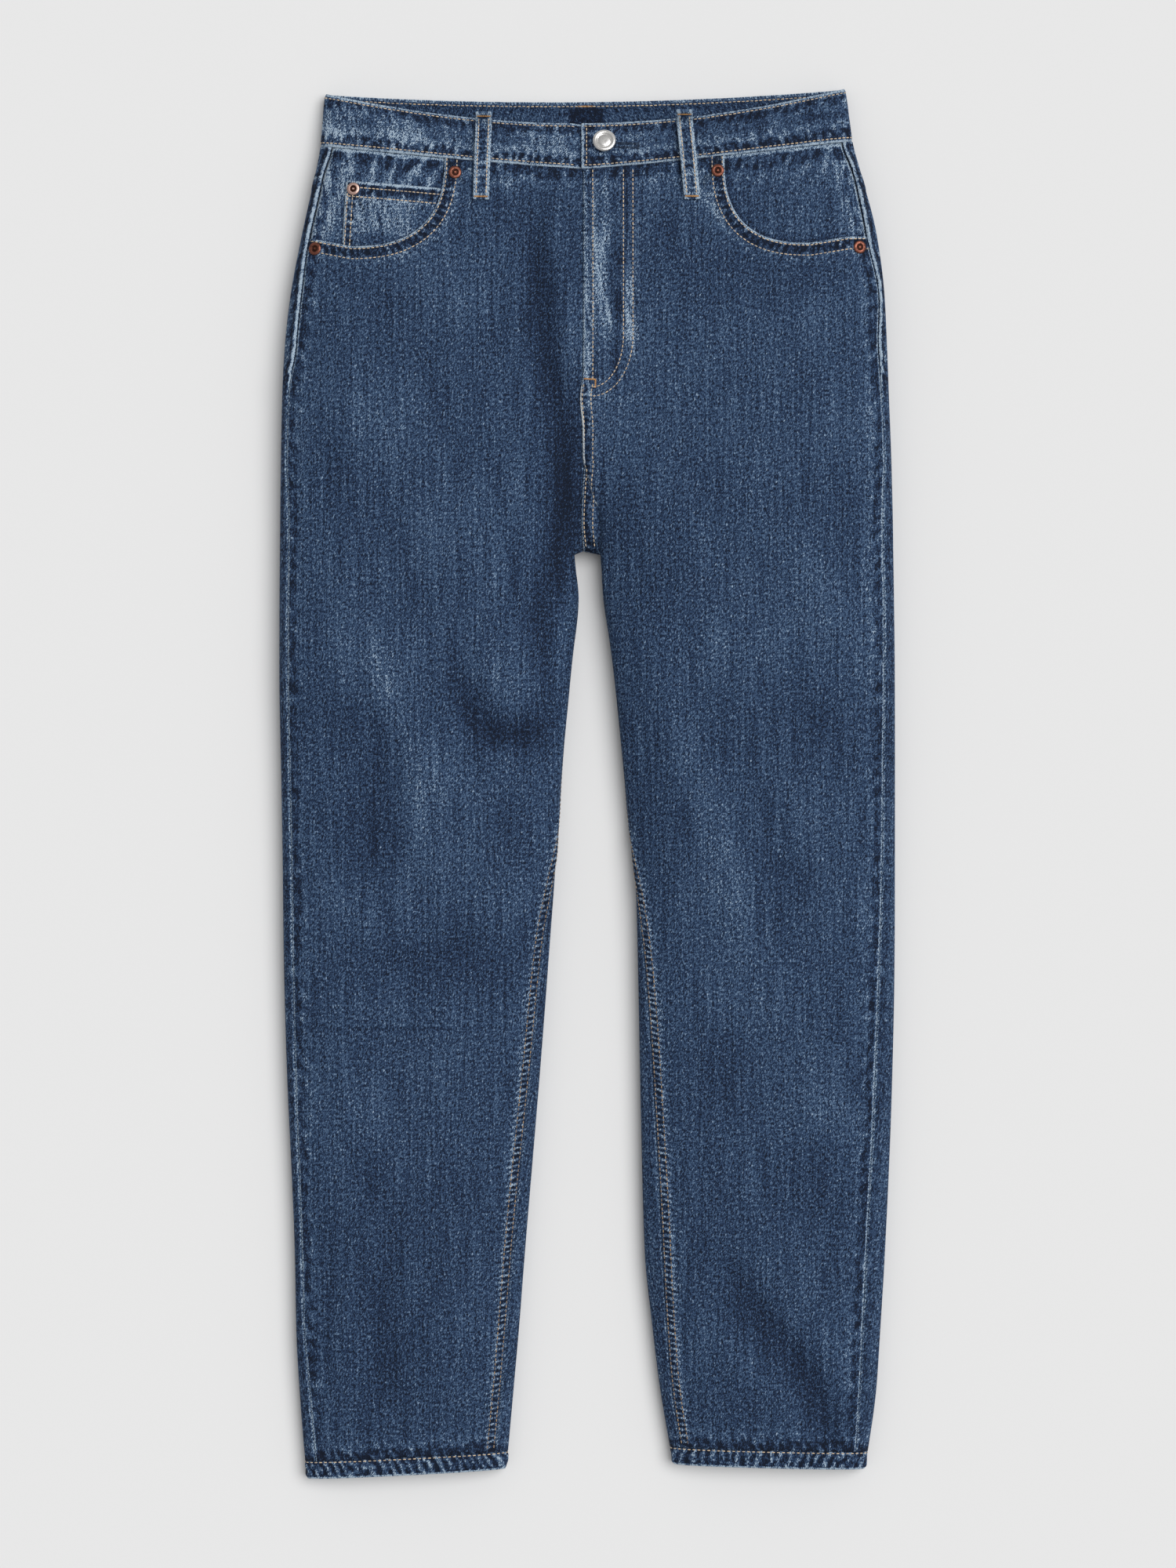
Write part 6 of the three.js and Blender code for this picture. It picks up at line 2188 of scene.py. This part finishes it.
BUTTON_PROFILE = (
    (0, 0), (3.6, 0), (4.0, 0.3), (4.3, 1.4), (5.4, 1.75), (7.4, 1.85), (8.2, 2.15), (8.5, 2.6), (8.45, 3.1),
    (8.1, 3.6), (7.4, 4.0), (6.7, 4.1), (6.1, 3.95), (5.5, 3.5), (5.0, 3.1), (4.7, 3.0), (4.4, 3.25),
    (4.1, 3.45), (3.2, 3.62), (1.6, 3.7), (0, 3.72),
)
RIVET_PROFILE = (
    (0, 0), (4.3, 0), (4.65, 0.15), (4.7, 0.4), (4.5, 0.8), (3.9, 1.1), (3.1, 1.25), (2.5, 1.2), (2.1, 1.0),
    (1.8, 0.75), (1.5, 0.75), (1.2, 0.95), (0.7, 1.1), (0, 1.12),
)
RIVET_BOWL = (0.65, 2.7)
RIVETS = (
    (-95.8, 443.5, Finish.COPPER), (-197.4, 388.3, Finish.COPPER), (-169.6, 431.6, Finish.ROSE),
    (94.6, 444.5, Finish.COPPER), (197.6, 389.5, Finish.COPPER),
)


@dataclass
class Studio:
    """The pale surface, the soft light from the right and the camera overhead."""

    size: float = 6.0
    below: float = 0.00005
    camera: tuple[float, float, float] = (0.00057, 0.0, 3.2175)
    sensor: float = 36.0
    framing: float = 1.14
    distance: float = 3.2
    clip_end: float = 20.0
    sun_from: tuple[float, float, float] = (1.0, 0.45, 2.2)
    sun_energy: float = 2.15
    sun_spread: float = 50.0
    sky: float = 0.40

    def placed(self, name: str, data: bpy.types.ID) -> bpy.types.Object:
        """An object in the scene."""
        obj = bpy.data.objects.new(name, data)
        bpy.context.scene.collection.objects.link(obj)
        return obj

    def build(self) -> None:
        """Sets the studio up."""
        half = self.size / 2
        ring = [(x * half, y * half, -self.below) for x, y in ((-1, -1), (1, -1), (1, 1), (-1, 1))]
        floor = bpy.data.meshes.new("floor")
        floor.from_pydata(ring, [], [(0, 1, 2, 3)])
        floor.materials.append(WARDROBE.material(Finish.FLOOR))
        self.placed("floor", floor)
        lens = bpy.data.cameras.new("overhead")
        lens.sensor_width, lens.clip_end = self.sensor, self.clip_end
        lens.lens = self.sensor * self.distance / self.framing
        eye = self.placed("overhead", lens)
        eye.location = self.camera
        bpy.context.scene.camera = eye
        sun = bpy.data.lights.new("window light", "SUN")
        sun.energy, sun.angle = self.sun_energy, math.radians(self.sun_spread)
        lamp = self.placed("window light", sun)
        lamp.rotation_euler = Vector(self.sun_from).to_track_quat("Z", "Y").to_euler()
        world = bpy.data.worlds.new("room")
        world.use_nodes = True
        background = world.node_tree.nodes["Background"]
        background.inputs["Color"].default_value = (1.0, 1.0, 1.0, 1.0)
        background.inputs["Strength"].default_value = self.sky
        bpy.context.scene.world = world
        bpy.context.scene.view_settings.view_transform = "Standard"


class Jeans:
    """The whole garment, piece by piece."""

    FLY_TOP = 446.0
    FLY_CURVE = (3.4, 325.0)
    FLY_ROWS = ((26.2, 38.0), (33.1, 44.5))
    FLY_EDGE_ROW = ((4.0, FLY_TOP), (4.2, 340.0), (4.0, 292.0))
    POCKET_ROWS = (1.7, 9.0)
    FRONT_TACKS = (
        ((-2.5, 293), (6.5, 292.4)), ((6.0, 292.6), (5.8, 286.5)), ((-223, 285.4), (-214, 285.0)),
        ((212, 286.9), (220.5, 286.6)),
    )
    BUTTONHOLE = (
        ((20.5, 462.3), (36.5, 461.9), 2.6), ((20.5, 465.3), (36.5, 464.9), 2.6),
        ((37.2, 460.6), (37.2, 466.2), 2.2),
    )
    BUTTONHOLE_PITCH = 0.7

    def __init__(self) -> None:
        """Names the halves' sub-assemblies."""
        self.legs = {half.name: Legs(half) for half in HALVES}
        self.bands = {
            "right": Waistband(RIGHT, (0.0395, 0.455, 0.0157)),
            "left": Waistband(LEFT, (0.0395, 0.42, 0.0145)),
        }
        self.tacks = Stitching("bar_tacks", Finish.GOLD)

    def build(self) -> None:
        """Builds and dresses each piece in order."""
        for legs in self.legs.values():
            legs.build()
            legs.dress()
            legs.topstitch()
        coin = CoinPocket(self.legs["right"])
        for part in (*self.bands.values(), *map(Hem, HALVES), coin):
            part.build()
            part.dress()
        self.centre_back_tack()
        self.loops()
        for half in HALVES:
            pocket = BackPocket(half)
            pocket.build()
            pocket.dress(self.tacks)
        Fly(self.legs["left"]).dress()
        self.front_stitches()
        self.tacks.piece()
        self.buttonhole()
        self.studs(Probe(*self.fronts(), coin.skin))

    def fronts(self) -> list[Skin]:
        """The faces that show from above."""
        return [legs.front_skin for legs in self.legs.values()] + [band.skin for band in self.bands.values()]

    def centre_back_tack(self) -> None:
        """Sews the bar that shows inside the back of the waistband."""
        ends = []
        for name, reach in (("right", -6.4), ("left", 3.8)):
            band = self.bands[name]
            inner, _ = band.grid.across(BAND_TOP - band.edge, -14, None, BAND_CLOTH)
            ends.append(inner[np.argmin(np.abs(inner[:, 0] - reach))])
        self.tacks.tack(*ends)

    def loops(self) -> None:
        """Adds the belt loops."""
        probe = Probe(*self.fronts())
        for kind, name, top, foot in (
            (Loop, "front_right", (-75, 485.8), (-77, 423.5)),
            (Loop, "front_left", (70.3, 487), (76, 423.5)),
            (BackLoop, "back_right", (-108, 496.5), (-108, 434.5)),
            (BackLoop, "back_centre", (0, 496.5), (0, 434.5)),
            (BackLoop, "back_left", (108, 496.5), (108, 434.5)),
        ):
            loop = kind(f"loop_{name}", top, foot)
            loop.build(probe)
            loop.dress(self.tacks)

    def front_stitches(self) -> None:
        """Sews the fly's and the pockets' rows and the bars at their ends."""
        sewn = Stitching("front_stitches", Finish.TAN)
        probe = Probe(*self.fronts()[:2])
        cx, cy = self.FLY_CURVE
        for x, drop in self.FLY_ROWS:
            turn = np.linspace(0, math.pi / 2, 40)
            curve = [(cx + (x - cx) * math.cos(a), cy - drop * math.sin(a)) for a in turn]
            sewn.row(*probe.along((x, self.FLY_TOP), *curve))
        sewn.row(*probe.along(*self.FLY_EDGE_ROW))
        for scoop in SCOOPS.values():
            for off in self.POCKET_ROWS:
                sewn.row(*probe.on(scoop.row(off)))
        sewn.piece()
        for ends in self.FRONT_TACKS:
            spots, _ = probe.on(ends)
            if len(spots) == len(ends):
                self.tacks.tack(*spots)

    def buttonhole(self) -> None:
        """Sews round the buttonhole beside the button."""
        sewn = Stitching("buttonhole", Finish.NAVY)
        probe = Probe(self.bands["left"].skin)
        for start, end, width in self.BUTTONHOLE:
            spots, _ = probe.along(start, end)
            sewn.tack(spots[0], spots[-1], width=width, pitch=self.BUTTONHOLE_PITCH)
        sewn.piece()

    def studs(self, probe: Probe) -> None:
        """Adds the button and the rivets."""
        Stud("button", (12.5, 466), 0.45, Finish.NICKEL, "nickel", BUTTON_PROFILE).dress(probe)
        for k, (x, y, finish) in enumerate(RIVETS, 1):
            Stud(f"rivet_{k}", (x, y), 0.15, finish, "copper", RIVET_PROFILE, RIVET_BOWL).dress(probe)


def main() -> None:
    """Builds the jeans, then the studio."""
    logging.basicConfig(level=logging.INFO, format="%(message)s")
    Jeans().build()
    Studio().build()


if __name__ == "__main__":
    main()
